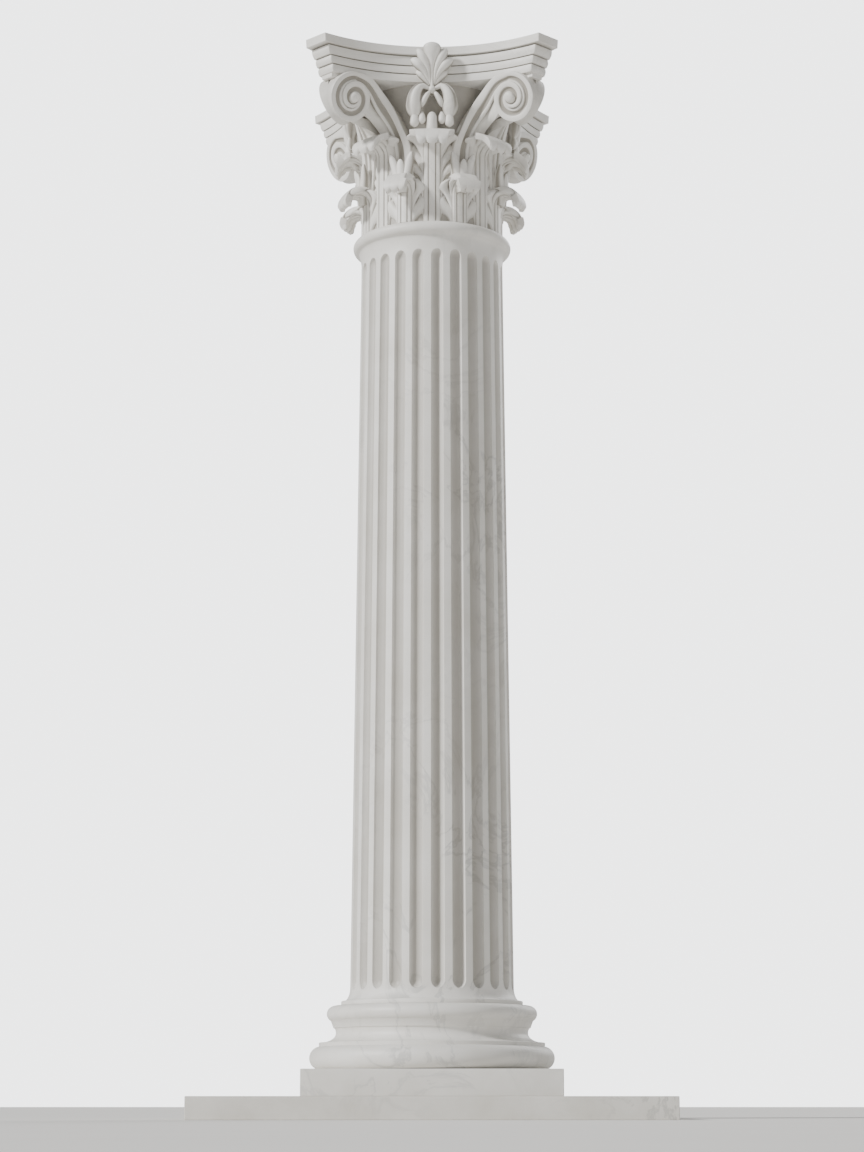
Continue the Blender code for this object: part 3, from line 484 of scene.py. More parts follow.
def base_profile():
    """Half an ellipse for each torus, two unlike quarter ellipses for the scotia, and fillets between."""
    upper_fillet = UPPER_TORUS_RADIUS - UPPER_FILLET_SETBACK
    scotia_top = upper_fillet - UPPER_FILLET_RAKE
    throat = scotia_top - SCOTIA_THROAT
    lower_middle = LOWER_TORUS_RADIUS - LOWER_TORUS_BULGE
    upper_middle = UPPER_TORUS_RADIUS - UPPER_TORUS_BULGE
    fillet_top = LOWER_TORUS_HEIGHT + LOWER_FILLET_HEIGHT
    throat_height = fillet_top + SCOTIA_LOWER_HEIGHT
    scotia_top_height = throat_height + SCOTIA_UPPER_HEIGHT
    torus_foot = scotia_top_height + UPPER_FILLET_HEIGHT
    edge = ARRIS / 2
    meeting = math.degrees(math.acos((upper_fillet - upper_middle) / UPPER_TORUS_BULGE))
    lower_meeting = math.degrees(math.acos((LOWER_FILLET_RADIUS - lower_middle) / LOWER_TORUS_BULGE))
    profile = np.concatenate([
        arc((upper_middle, torus_foot + UPPER_TORUS_HEIGHT / 2),
            (UPPER_TORUS_BULGE, UPPER_TORUS_HEIGHT / 2), 90, -meeting, steps=24),
        [(scotia_top + edge / 2, scotia_top_height + edge), (scotia_top, scotia_top_height)],
        arc((scotia_top, throat_height), (SCOTIA_THROAT, SCOTIA_UPPER_HEIGHT), 90, 180, steps=10)[1:],
        arc((LOWER_FILLET_RADIUS - edge, throat_height),
            (LOWER_FILLET_RADIUS - edge - throat, SCOTIA_LOWER_HEIGHT), 180, 270, steps=14)[1:],
        [(LOWER_FILLET_RADIUS, fillet_top - edge), (LOWER_FILLET_RADIUS, LOWER_TORUS_HEIGHT - edge)],
        arc((lower_middle, LOWER_TORUS_HEIGHT / 2),
            (LOWER_TORUS_BULGE, LOWER_TORUS_HEIGHT / 2), lower_meeting, -90, steps=28),
    ])
    profile[:, 1] += BASE_FOOT
    return profile


def make_base():
    block = Block("turned_base")
    block.add(tube(revolve(base_profile(), BASE_SEGMENTS)))
    return block.build()


def face_radius(height):
    """The shaft's face tapers in a straight line from the lower to the upper apophyge."""
    lower_end = CINCTURE_HEIGHT + LOWER_APOPHYGE_HEIGHT
    upper_start = SHAFT_HEIGHT - ASTRAGAL_HEIGHT - UPPER_APOPHYGE_HEIGHT
    share = (height - lower_end) / (upper_start - lower_end)
    return SHAFT_LOWER_RADIUS + (SHAFT_UPPER_RADIUS - SHAFT_LOWER_RADIUS) * share


def flute_half_width(height):
    return face_radius(height) * math.sin(math.pi / FLUTE_COUNT * FLUTE_SHARE)


def fluted_rows():
    """Rows (height, opening) down the flutes: each end opens as sin a while its height runs as cos a."""
    top = SHAFT_HEIGHT - FLUTE_UPPER_END
    angle = np.linspace(0.0, math.pi / 2, FLUTE_END_ROWS)
    upper = top - flute_half_width(top) * FLUTE_END_STRETCH * (1 - np.cos(angle))
    lower = FLUTE_LOWER_END + flute_half_width(FLUTE_LOWER_END) * FLUTE_END_STRETCH * (1 - np.cos(angle))
    between = np.linspace(upper[-1], lower[-1], FLUTE_LENGTH_ROWS)[1:-1]
    heights = np.concatenate([upper, between, lower[::-1]])
    opening = np.concatenate([np.sin(angle), np.ones(len(between)), np.sin(angle[::-1])])
    return heights, opening


def shaft_profile():
    """The shaft's turned profile from the top down: radii, heights, and how far the flutes are open."""
    upper_start = SHAFT_HEIGHT - ASTRAGAL_HEIGHT - UPPER_APOPHYGE_HEIGHT
    neck = SHAFT_UPPER_RADIUS + UPPER_APOPHYGE_PROJECTION
    middle = SHAFT_UPPER_RADIUS + ASTRAGAL_PROJECTION - ASTRAGAL_BULGE
    meeting = math.degrees(math.acos((neck - middle) / ASTRAGAL_BULGE))
    ledge = CINCTURE_RADIUS - CINCTURE_LEDGE
    apophyge_top = CINCTURE_HEIGHT + LOWER_APOPHYGE_HEIGHT
    astragal = arc((middle, SHAFT_HEIGHT - ASTRAGAL_HEIGHT / 2), (ASTRAGAL_BULGE, ASTRAGAL_HEIGHT / 2),
                   90, -meeting, steps=20)
    upper_apophyge = arc((neck, upper_start), (UPPER_APOPHYGE_PROJECTION, UPPER_APOPHYGE_HEIGHT),
                         90, 180, steps=10)
    lower_apophyge = arc((ledge, apophyge_top), (ledge - SHAFT_LOWER_RADIUS, LOWER_APOPHYGE_HEIGHT),
                         180, 270, steps=12)
    cincture = np.concatenate([
        arc((CINCTURE_RADIUS - ARRIS, CINCTURE_HEIGHT - ARRIS), (ARRIS, ARRIS), 90, 0, steps=3),
        arc((CINCTURE_RADIUS - ARRIS, ARRIS), (ARRIS, ARRIS), 0, -90, steps=3),
    ])
    heights, opening = fluted_rows()
    on_apophyge = np.interp(heights, lower_apophyge[::-1, 1], lower_apophyge[::-1, 0])
    radius = np.where(heights < apophyge_top, on_apophyge, face_radius(heights))
    top = np.concatenate([astragal, upper_apophyge[1:]])
    foot = np.concatenate([lower_apophyge[lower_apophyge[:, 1] < heights[-1] - ARRIS / 3], cincture])
    return (np.concatenate([top[:, 0], radius, foot[:, 0]]),
            np.concatenate([top[:, 1], heights, foot[:, 1]]),
            np.concatenate([np.zeros(len(top)), opening, np.zeros(len(foot))]))


def make_shaft():
    """The turned profile with flutes let in: a flute's section and its two ends are both half ellipses.

    A flute's columns stand at u = sin of even steps, and its depth is opening x sqrt(1 - u^2)."""
    row_radius, row_height, row_opening = shaft_profile()
    pitch = math.tau / FLUTE_COUNT
    across = np.sin(np.linspace(-math.pi / 2, math.pi / 2, FLUTE_COLUMNS))
    half_angle = pitch / 2 * FLUTE_SHARE * np.maximum(row_opening, FLUTE_TIP_SHARE)[:, None]
    fillet = half_angle + (pitch - 2 * half_angle) * np.array([[1 / 3, 2 / 3]])
    angles = np.concatenate([across * half_angle, fillet], axis=1)
    depth = FLUTE_DEPTH_SHARE * flute_half_width(row_height) * row_opening
    sink = np.zeros(angles.shape)
    sink[:, :FLUTE_COLUMNS] = depth[:, None] * np.sqrt(1 - across**2)
    angles = (angles[:, None, :] + pitch * np.arange(FLUTE_COUNT)[None, :, None]).reshape(len(angles), -1)
    sink = np.tile(sink, (1, FLUTE_COUNT))
    radius = row_radius[:, None] - sink
    turned = angles + FLUTE_TURN - math.pi / 2
    points = np.stack([radius * np.cos(turned), radius * np.sin(turned),
                       np.broadcast_to(row_height[:, None] + SHAFT_FOOT, radius.shape)], axis=-1)
    block = Block("fluted_shaft")
    # Shade is painted in the flutes, darkest where they are deepest.
    block.add(tube(points), (sink / depth.max()).reshape(-1))
    return block.build()


# The capital's bell and abacus

def bell_radius(height):
    """Straight up to the flare's start, then outwards by the square of the height above it."""
    start = BELL_FLARE_START * BELL_HEIGHT
    share = np.clip((np.asarray(height, float) - start) / (BELL_HEIGHT - start), 0.0, 1.0)
    return BELL_RADIUS + BELL_LIP_PROJECTION * share**2


def make_bell(block):
    heights = np.append(np.linspace(BELL_HEIGHT + BELL_TENON, BELL_HEIGHT / 2, BELL_ROWS), 0.0)
    profile = np.stack([bell_radius(heights), heights + CAPITAL_FOOT], axis=1)
    # The whole bell gets painted shade, as it lies behind the leaves.
    block.add(tube(revolve(profile, BELL_SEGMENTS)), BELL_SHADE)


def abacus_outline(side_step, horn_step):
    """Four hollow sides on circles of one radius, and four horns cut square to the diagonals.

    Each corner is worn round: its point is replaced by three, set back along both edges."""
    half_chord = ABACUS_CORNER_REACH - ABACUS_HORN_CUT
    hollow_radius = (half_chord**2 + ABACUS_HOLLOW**2) / (2 * ABACUS_HOLLOW)
    centre = ABACUS_CORNER_REACH - ABACUS_HOLLOW + hollow_radius
    radius = hollow_radius + side_step
    cut = ABACUS_CORNER_REACH + half_chord - math.sqrt(2) * horn_step - centre
    corner = (cut + math.sqrt(2 * radius**2 - cut**2)) / 2
    across = np.linspace(-corner, corner, ABACUS_SIDE_STEPS + 1)
    side = np.stack([across, np.sqrt(radius**2 - across**2) - centre], axis=1)
    along_side = (side[-2] - side[-1]) / np.linalg.norm(side[-2] - side[-1])
    along_cut = np.array([math.sqrt(0.5), math.sqrt(0.5)])
    blunt = ABACUS_CORNER_BLUNT * (along_side + along_cut)
    worn = side[-1] + ARRIS * np.array([along_side, blunt, along_cut])
    mirrored = worn[::-1] * np.array([-1.0, 1.0])
    ring = np.concatenate([mirrored, side[1:-1], worn])
    flat = np.concatenate([ring, np.zeros((len(ring), 1))], axis=1)
    return np.concatenate([round_about(flat, k * math.pi / 2) for k in range(4)])


def make_abacus(block):
    """Bands that swell by a half sine, each parted from the next by a quirk, a line sunk into the face.

    The top band is flat and has no quirk above it."""
    share = np.linspace(0.0, 1.0, BAND_ROWS)
    quirk_top = np.array([QUIRK_HEIGHT / ABACUS_HEIGHT, 0.0])
    sunk = np.array([0.0, QUIRK_DEPTH / ABACUS_MOULDING_DEPTH])
    *bands, top_band = np.array(ABACUS_BANDS)
    profile = []
    hollow = []
    for low, high in bands:
        end = high - quirk_top
        face = low + (end - low) * share[:, None]
        face[:, 1] -= BAND_BULGE * np.sin(math.pi * share)
        profile += [face, np.array([end + sunk, high + sunk])]
        # Shade is painted fully into the quirks and not on the band faces.
        hollow += [np.zeros(BAND_ROWS), np.ones(2)]
    profile.append(top_band[0] + (top_band[1] - top_band[0]) * share[:, None])
    hollow.append(np.zeros(BAND_ROWS))
    loops = []
    for height_share, depth_share in np.concatenate(profile):
        step = ABACUS_MOULDING_DEPTH * depth_share
        loop = abacus_outline(step, step * HORN_RAKE)
        loop[:, 2] = ABACUS_FOOT + ABACUS_HEIGHT * height_share
        loops.append(loop)
    loops = np.array(loops)
    block.add(tube(loops), np.repeat(np.concatenate(hollow), loops.shape[1]))


def make_horn_pad(block, corner):
    """The pad under a horn: it widens inwards, and its lower edge is worn in a quarter round."""
    end = ((2 * ABACUS_CORNER_REACH - ABACUS_HORN_CUT) / math.sqrt(2)
           - ABACUS_MOULDING_DEPTH * HORN_RAKE - HORN_PAD_INSET)
    half_end = ABACUS_HORN_CUT / math.sqrt(2) - ABACUS_MOULDING_DEPTH - HORN_PAD_INSET
    half_root = half_end + HORN_PAD_SPREAD
    quarter = np.linspace(0.0, math.pi / 2, ARRIS_POINTS)
    foot = ABACUS_FOOT - HORN_PAD_HEIGHT
    insets = np.append(ARRIS * (1 - np.sin(quarter)), 0.0)
    heights = np.append(foot + ARRIS * (1 - np.cos(quarter)), ABACUS_FOOT + HORN_PAD_INSET)
    root = np.full(len(insets), end - HORN_PAD_LENGTH)
    reach = np.stack([end - insets, end - insets, root, root], axis=1)
    half = np.stack([insets - half_end, half_end - insets, half_root - insets, insets - half_root], axis=1)
    loops = np.stack([reach, half, np.broadcast_to(heights[:, None], reach.shape)], axis=-1)
    block.add(tube(round_about(loops, math.pi / 4 + corner * math.pi / 2)))


# Acanthus leaves

def leaf_spine(leaf):
    """A leaf's middle line: up along the bell, then rolling outwards and down on an ellipse.

    Returns radii, heights and outward normals at even steps of its length."""
    rise = leaf["rise"] * BELL_HEIGHT
    climb = np.linspace(LEAF_FOOT, rise, LEAF_SPINE_STEPS)
    root = bell_radius(rise) + leaf["stand"]
    angles = np.radians(np.linspace(180.0, leaf["end_degrees"], LEAF_SPINE_STEPS))[1:]
    radius = np.concatenate([bell_radius(climb) + leaf["stand"],
                             root + leaf["reach"] * (1 + np.cos(angles))])
    height = np.concatenate([climb, rise + leaf["roll_rise"] * np.sin(angles)])
    run = np.concatenate([[0.0], np.cumsum(np.hypot(np.diff(radius), np.diff(height)))])
    even = np.linspace(0.0, 1.0, 2 * LEAF_SPINE_STEPS + 1)
    radius = np.interp(even * run[-1], run, radius)
    height = np.interp(even * run[-1], run, height)
    slope_r, slope_z = np.gradient(radius), np.gradient(height)
    length = np.hypot(slope_r, slope_z)
    return even, radius, height, slope_z / length, -slope_r / length


def on_leaf(spine, azimuth, along, sideways, offset):
    """Points at shares of a leaf's length, at distances sideways from its middle and out of its face."""
    even, radius, height, normal_r, normal_z = spine
    r = np.interp(along, even, radius)
    here_r = r + np.interp(along, even, normal_r) * offset
    here_z = np.interp(along, even, height) + np.interp(along, even, normal_z) * offset
    angle = azimuth + sideways / r
    return np.stack([here_r * np.sin(angle), -here_r * np.cos(angle), here_z + CAPITAL_FOOT], axis=-1)


def leaf_columns():
    """Places of a leaf's columns from -1 to 1: the midrib's own stations, and even steps on past it."""
    side = np.linspace(MIDRIB_SHARE, 1.0, FINGER_COLUMNS + 1)
    middle = MIDRIB_SHARE * np.array(MIDRIB_SECTION)[1:-1, 0]
    return np.concatenate([-side[::-1], -middle[::-1], [0.0], middle, side])


def tip_lobes(place):
    """A rolled tip's three lobes, 1 on a crest and 0 in a groove: a half sine wave each, filled by a power.

    A place is the distance from the leaf's middle as a share of its half width there."""
    beside = np.clip((place - TIP_GROOVE) / (1 - TIP_GROOVE), 0.0, TIP_LOBE_END)
    wave = np.where(place < TIP_GROOVE, np.cos(math.pi / 2 * place / TIP_GROOVE), np.sin(math.pi * beside))
    return np.clip(wave, 0.0, 1.0) ** TIP_LOBE_POWER


def make_leaf(block, leaf, azimuth):
    """An acanthus leaf as a plate on a grid of rows (up the leaf) and columns (across it).

    Past the midrib a row sweeps up by S(1 - (1 - b)^2), b being 0 there and 1 at the outline, so rows
    follow the fingers. Within a finger the phase p runs from -1 to 1: its crest is sqrt(1 - p^2), and its
    outline is notched by the same rule. The fingers die out below the rolled tip and its lobes."""
    row = np.linspace(0.0, 1.0, leaf["fingers"] * FINGER_ROWS + 1)[:, None]
    across = leaf_columns()
    share = np.clip((np.abs(across) - MIDRIB_SHARE) / (1 - MIDRIB_SHARE), 0.0, 1.0)
    inner = np.clip(np.abs(across) / MIDRIB_SHARE, 0.0, 1.0)

    near_tip = smooth_step(row, TIP_START, 0.5 * (1 + TIP_START))
    below_tip = 1 - near_tip
    sweep = leaf["sweep"] * smooth_step(row, *SWEEP_GROWTH) * below_tip
    phase = 2 * ((row * leaf["fingers"]) % 1.0) - 1
    crest = np.sqrt(1 - FINGER_END * phase**2)
    along = np.clip(row + sweep * (1 - (1 - share) ** 2), 0.0, 1.0)
    outline = 1 - FINGER_NOTCH * (1 - crest) * below_tip * share
    envelope = leaf["half_width"] * np.interp(along, *np.array(leaf["widths"]).T)
    beyond = np.maximum(envelope * outline - leaf["rib"], 0.0)
    sideways = np.sign(across) * (leaf["rib"] * inner + beyond * share)

    lobe = tip_lobes(np.clip(np.abs(sideways) / envelope, 0.0, 1.0))
    along = along - TIP_SCALLOP * (1 - lobe) * smooth_step(row, 1 - 2 * TIP_SCALLOP, 1.0)
    groove = (1 - crest) * smooth_step(share, 0.0, FINGER_RELIEF_GROWTH) * below_tip
    lobe_groove = (1 - lobe) * near_tip
    rib = np.interp(inner, *np.array(MIDRIB_SECTION).T)
    lift = (MIDRIB_RELIEF * rib * below_tip - FINGER_RELIEF * groove - TIP_RELIEF * lobe_groove
            - EDGE_DROP * share**6 * below_tip)
    rolled = smooth_step(along, LEAF_FREE_FROM, LEAF_FREE_AT)
    thin = 1 - LEAF_THINNING * share**3 * below_tip
    behind = -leaf["thickness"] * thin * rolled - LEAF_SINK * (1 - rolled)
    closing = np.clip((row - TIP_ROUND) / (1 - TIP_ROUND), 0.0, TIP_SHUT)
    open_share = np.sqrt(1 - closing**2)
    core = -leaf["thickness"] / 2

    # Shade is painted into the fingers' grooves, the tip's grooves and the lines along the midrib; the back
    # gets a share of it.
    rib_lines = sum(np.exp(-((inner - line) / spread) ** 2) for line, spread in MIDRIB_LINES)
    rib_shade = MIDRIB_SHADE * rib_lines * (share <= 0) * below_tip
    hollow = np.clip(groove + lobe_groove + rib_shade, 0.0, 1.0).reshape(-1)
    spine = leaf_spine(leaf)
    front = on_leaf(spine, azimuth, along, sideways, core + (lift - core) * open_share)
    back = on_leaf(spine, azimuth, along, sideways, core + (behind - core) * open_share)
    block.add(plate(front, back), np.concatenate([hollow, LEAF_BACK_SHADE * hollow]))


def make_leaves(block):
    pitch = math.tau / LEAF_COUNT_IN_ROW
    for k in range(LEAF_COUNT_IN_ROW):
        make_leaf(block, UPPER_LEAF, k * pitch)
        make_leaf(block, LOWER_LEAF, (k + 0.5) * pitch)


# Petals, from which the flowers and the calyxes are made

def make_petal(block, path, widths, depths, azimuth, side, line_depth):
    """An oval section swept along a smooth path of (sideways, height, reach), closed by a half ellipse.

    The section is (w cos a, d sin a). A line may be sunk along the outer half of the front."""
    t = np.sin(np.linspace(0.0, math.pi / 2, PETAL_STEPS))
    path = measured_path([(x, -y, z) for x, z, y in path], t)
    knots = np.linspace(0.0, 1.0, len(widths))
    closing = np.clip((t - PETAL_ROUND) / (1 - PETAL_ROUND), 0.0, 1.0)
    size = np.maximum(np.sqrt(1 - closing**2), PETAL_TIP)
    width = np.interp(t, knots, widths) * size
    depth = np.interp(t, knots, depths) * size
    along = np.gradient(path, t, axis=0)
    along /= np.linalg.norm(along, axis=1)[:, None]
    outward = np.array([0.0, -1.0, 0.0])
    sideways = np.cross(along, outward)
    sideways /= np.linalg.norm(sideways, axis=1)[:, None]
    angle = np.linspace(0.0, math.tau, PETAL_CORNERS, endpoint=False)
    line = np.exp(-((angle - PETAL_LINE_ANGLE) / PETAL_LINE_SPREAD) ** 2) * (1 - closing[:, None])
    front = depth[:, None] * np.sin(angle) - line_depth * line
    loops = (path[:, None, :] + sideways[:, None, :] * (width[:, None] * np.cos(angle))[:, :, None]
             + outward * front[:, :, None])
    loops[:, :, 0] *= side
    # Shade is painted along the petal's two sides and into its sunk line.
    seam = PETAL_SEAM_SHADE * np.abs(np.cos(angle)) ** PETAL_SEAM_POWER
    hollow = np.clip(seam + (line_depth > 0) * line, 0.0, 1.0)
    block.add(tube(round_about(loops, azimuth)), hollow.reshape(-1))


def make_petals(block, petals, foot, root, azimuth):
    """All petals of a list, raised to a foot and set out to a root; a paired one is made on both sides."""
    for petal in petals:
        path = [(x, foot + height, root + reach) for x, height, reach in petal["path"]]
        for side in (-1, 1) if petal.get("paired") else (1,):
            make_petal(block, path, petal["widths"], petal["depths"], azimuth, side, petal.get("line", 0.0))


def make_flower(block, azimuth):
    """A palmette of seven lobes over a bead, two folded leaves with tassels, and a bud between them."""
    make_petals(block, FLOWER_PETALS, ABACUS_FOOT, FLOWER_ROOT, azimuth)


def make_calyx(block, azimuth):
    """The sheath that a stalk grows from: a middle petal with one to each side, opening at their tips."""
    make_petals(block, CALYX_PETALS, CAPITAL_FOOT, CALYX_ROOT, azimuth)


# Volutes

def scroll_radius(degrees):
    """The scroll's outer radius, which shrinks evenly as the angle falls below 0 degrees."""
    return VOLUTE_RADIUS + VOLUTE_PITCH * np.minimum(degrees, 0.0) / 360.0


class VolutePlace:
    """Where one volute stands: its eye and the three directions of its face, for one corner and side."""

    def __init__(self, corner, side):
        self.diagonal_angle = math.pi / 4 + corner * math.pi / 2
        diagonal = np.array([math.sin(self.diagonal_angle), -math.cos(self.diagonal_angle), 0.0])
        square = side * np.array([diagonal[1], -diagonal[0], 0.0])
        self.side = side
        self.outward = math.cos(VOLUTE_TILT) * diagonal - math.sin(VOLUTE_TILT) * square
        self.face = math.cos(VOLUTE_TILT) * square + math.sin(VOLUTE_TILT) * diagonal
        self.eye = VOLUTE_EYE_REACH * diagonal + VOLUTE_EYE_OFFSET * square
        self.eye[2] = ABACUS_FOOT - VOLUTE_EYE_DROP

    def on_disc(self, radius, degrees, proud):
        """Points at a distance and angle about the eye, proud of a face that leans out with its height."""
        radius, degrees, proud = np.broadcast_arrays(np.asarray(radius, float), degrees, proud)
        angle = np.radians(degrees)[..., None]
        height = radius[..., None] * np.sin(angle)
        return (self.eye + self.outward * radius[..., None] * np.cos(angle)
                + np.array([0.0, 0.0, 1.0]) * height
                + self.face * (proud[..., None] + VOLUTE_LEAN * height))

    def on_bell(self, edge):
        """Points of a stalk's edge, given by azimuth, distance from the bell and share of its height."""
        azimuth, stand, height_share = np.array(edge).T
        height = height_share * BELL_HEIGHT
        radius = bell_radius(height) + stand
        angle = self.diagonal_angle + self.side * np.radians(azimuth)
        return np.stack([radius * np.sin(angle), -radius * np.cos(angle), height + CAPITAL_FOOT], axis=1)

    def edge(self, on_bell, lead, end=None):
        """An edge of the stalk: up the bell, over to the scroll, and to a last point if there is one."""
        parts = [self.on_bell(on_bell), self.on_disc(*np.array(lead).T, -STALK_SINK)]
        if end is not None:
            parts.append(end[None, :])
        return measured_path(np.concatenate(parts), np.linspace(0.0, 1.0, STALK_STEPS))


def face_normals(outer, inner, face):
    """Unit normals of the strip between two edges, on the side that the volute faces."""
    normal = np.cross(np.gradient((outer + inner) / 2, axis=0), inner - outer)
    normal /= np.linalg.norm(normal, axis=1)[:, None]
    return normal * np.sign(normal @ face)[:, None]


def ribbon_shell(front, first, last, inward, hollow):
    """A closed shell through rows of front points, each backed by the row's two edges moved inward.

    Hollow says how much shade is painted on a row's front points, and comes back for every point of the
    shell."""
    back = np.stack([last, first], axis=1) + inward[:, None, :]
    row = np.append(hollow, [BACK_SHADE, BACK_SHADE])
    return tube(np.concatenate([front, back], axis=1)), np.tile(row, len(front))


def make_ribbon(block, outer, inner, thickness, face):
    """The ribbon between two edges: a plain band outside, a sunk channel and a narrow fillet inside."""
    normal = face_normals(outer, inner, face)
    width = np.linalg.norm(inner - outer, axis=1)
    channel = np.minimum(CHANNEL_SHARE * width, CHANNEL_DEPTH)[:, None]
    stations, dips = np.array(RIBBON_SECTION).T
    front = (outer[:, None, :] + (inner - outer)[:, None, :] * stations[None, :, None]
             + normal[:, None, :] * (channel * dips)[:, :, None])
    # Shade is painted into the channel, by its depth, and on the ribbon's back.
    block.add(*ribbon_shell(front, outer, inner, -normal * thickness[:, None], np.clip(-dips, 0, 1)))


def make_under_band(block, line, inner, face):
    """The band from a stalk's line to its inner edge, set back from the ribbon, its front a half sine."""
    normal = face_normals(line, inner, face)
    upper = line - normal * UNDER_BAND_SETBACK
    share = np.linspace(0.0, 1.0, UNDER_BAND_COLUMNS)
    width = np.linalg.norm(inner - upper, axis=1)[:, None]
    swell = UNDER_BAND_SWELL * width * np.sin(math.pi * share)
    front = (upper[:, None, :] + (inner - upper)[:, None, :] * share[None, :, None]
             + normal[:, None, :] * swell[:, :, None])
    # Shade is painted along the band's upper edge, where it is set back under the ribbon's line, and fades
    # across it.
    block.add(*ribbon_shell(front, upper, inner, -normal * STALK_THICKNESS, (1 - share) ** 4))


def make_eye(block, place, proud):
    """The eye: a round boss whose section is a quarter ellipse, turned about its middle."""
    around = np.linspace(0.0, 360.0, VOLUTE_EYE_CORNERS, endpoint=False)
    rings = [place.on_disc(VOLUTE_EYE_RADIUS, around, -VOLUTE_THICKNESS / 2)]
    for angle in np.linspace(0.0, math.pi / 2, VOLUTE_EYE_RINGS)[:-1]:
        rings.append(place.on_disc(VOLUTE_EYE_RADIUS * math.cos(angle), around,
                                   proud + VOLUTE_EYE_RISE * math.sin(angle)))
    block.add(tube(np.array(rings)))


def make_volute(block, corner, side):
    """A ribbon that climbs from its calyx, turns over towards the horn and winds in to the eye.

    Around the eye its outer edge is an even spiral and its inner edge is the same spiral one turn on, so
    that the turns touch."""
    place = VolutePlace(corner, side)
    turning = SCROLL_START - np.linspace(0.0, 360.0 * SCROLL_TURNS, SCROLL_STEPS)
    proud = VOLUTE_TURN_RISE * (SCROLL_START - turning) / 360.0
    inner_radius = np.maximum(scroll_radius(turning - 360.0), VOLUTE_EYE_RADIUS / 2)
    scroll_outer = place.on_disc(scroll_radius(turning), turning, proud)
    scroll_inner = place.on_disc(inner_radius, turning, proud)
    stalk_outer = place.edge(STALK_OUTER, STALK_OUTER_LEAD, scroll_outer[0])
    stalk_line = place.edge(STALK_LINE, STALK_LINE_LEAD, scroll_inner[0])
    thickness = np.append(np.full(STALK_STEPS - 1, STALK_THICKNESS), VOLUTE_THICKNESS + proud)
    make_ribbon(block, np.concatenate([stalk_outer[:-1], scroll_outer]),
                np.concatenate([stalk_line[:-1], scroll_inner]), thickness, place.face)
    make_under_band(block, stalk_line, place.edge(STALK_INNER, STALK_INNER_LEAD), place.face)
    make_eye(block, place, proud[-1])
    make_calyx(block, place.diagonal_angle + side * CALYX_AZIMUTH)


def make_capital():
    body = Block("capital_bell_and_abacus")
    make_bell(body)
    make_abacus(body)
    leaves = Block("capital_acanthus_leaves")
    make_leaves(leaves)
    scrolls = Block("capital_volutes_and_flowers")
    for corner in range(4):
        make_horn_pad(body, corner)
        for side in (-1, 1):
            make_volute(scrolls, corner, side)
        make_flower(scrolls, corner * math.pi / 2)
    return [part.build() for part in (body, leaves, scrolls)]


# Materials

def linear(hex_colour):
    """An sRGB hex colour as linear values."""
    channels = [int(hex_colour[i:i + 2], 16) / 255.0 for i in (1, 3, 5)]
    return [c / 12.92 if c <= 0.04045 else ((c + 0.055) / 1.055) ** 2.4 for c in channels] + [1.0]


def per_metre(size_mm):
    """A noise's scale for features of a size in millimetres."""
    return 1000.0 / size_mm


def node(tree, kind, settings=None, links=None):
    """Adds a shader node: settings are properties or input values, links join its inputs to sockets.

    Properties are set before input values, because some of them change which inputs there are."""
    made = tree.nodes.new(kind)
    values = {}
    for key, value in (settings or {}).items():
        if isinstance(key, str) and hasattr(made, key):
            setattr(made, key, value)
        else:
            values[key] = value
    for key, value in values.items():
        made.inputs[key].default_value = value
    for key, socket in (links or {}).items():
        tree.links.new(socket, made.inputs[key])
    return made


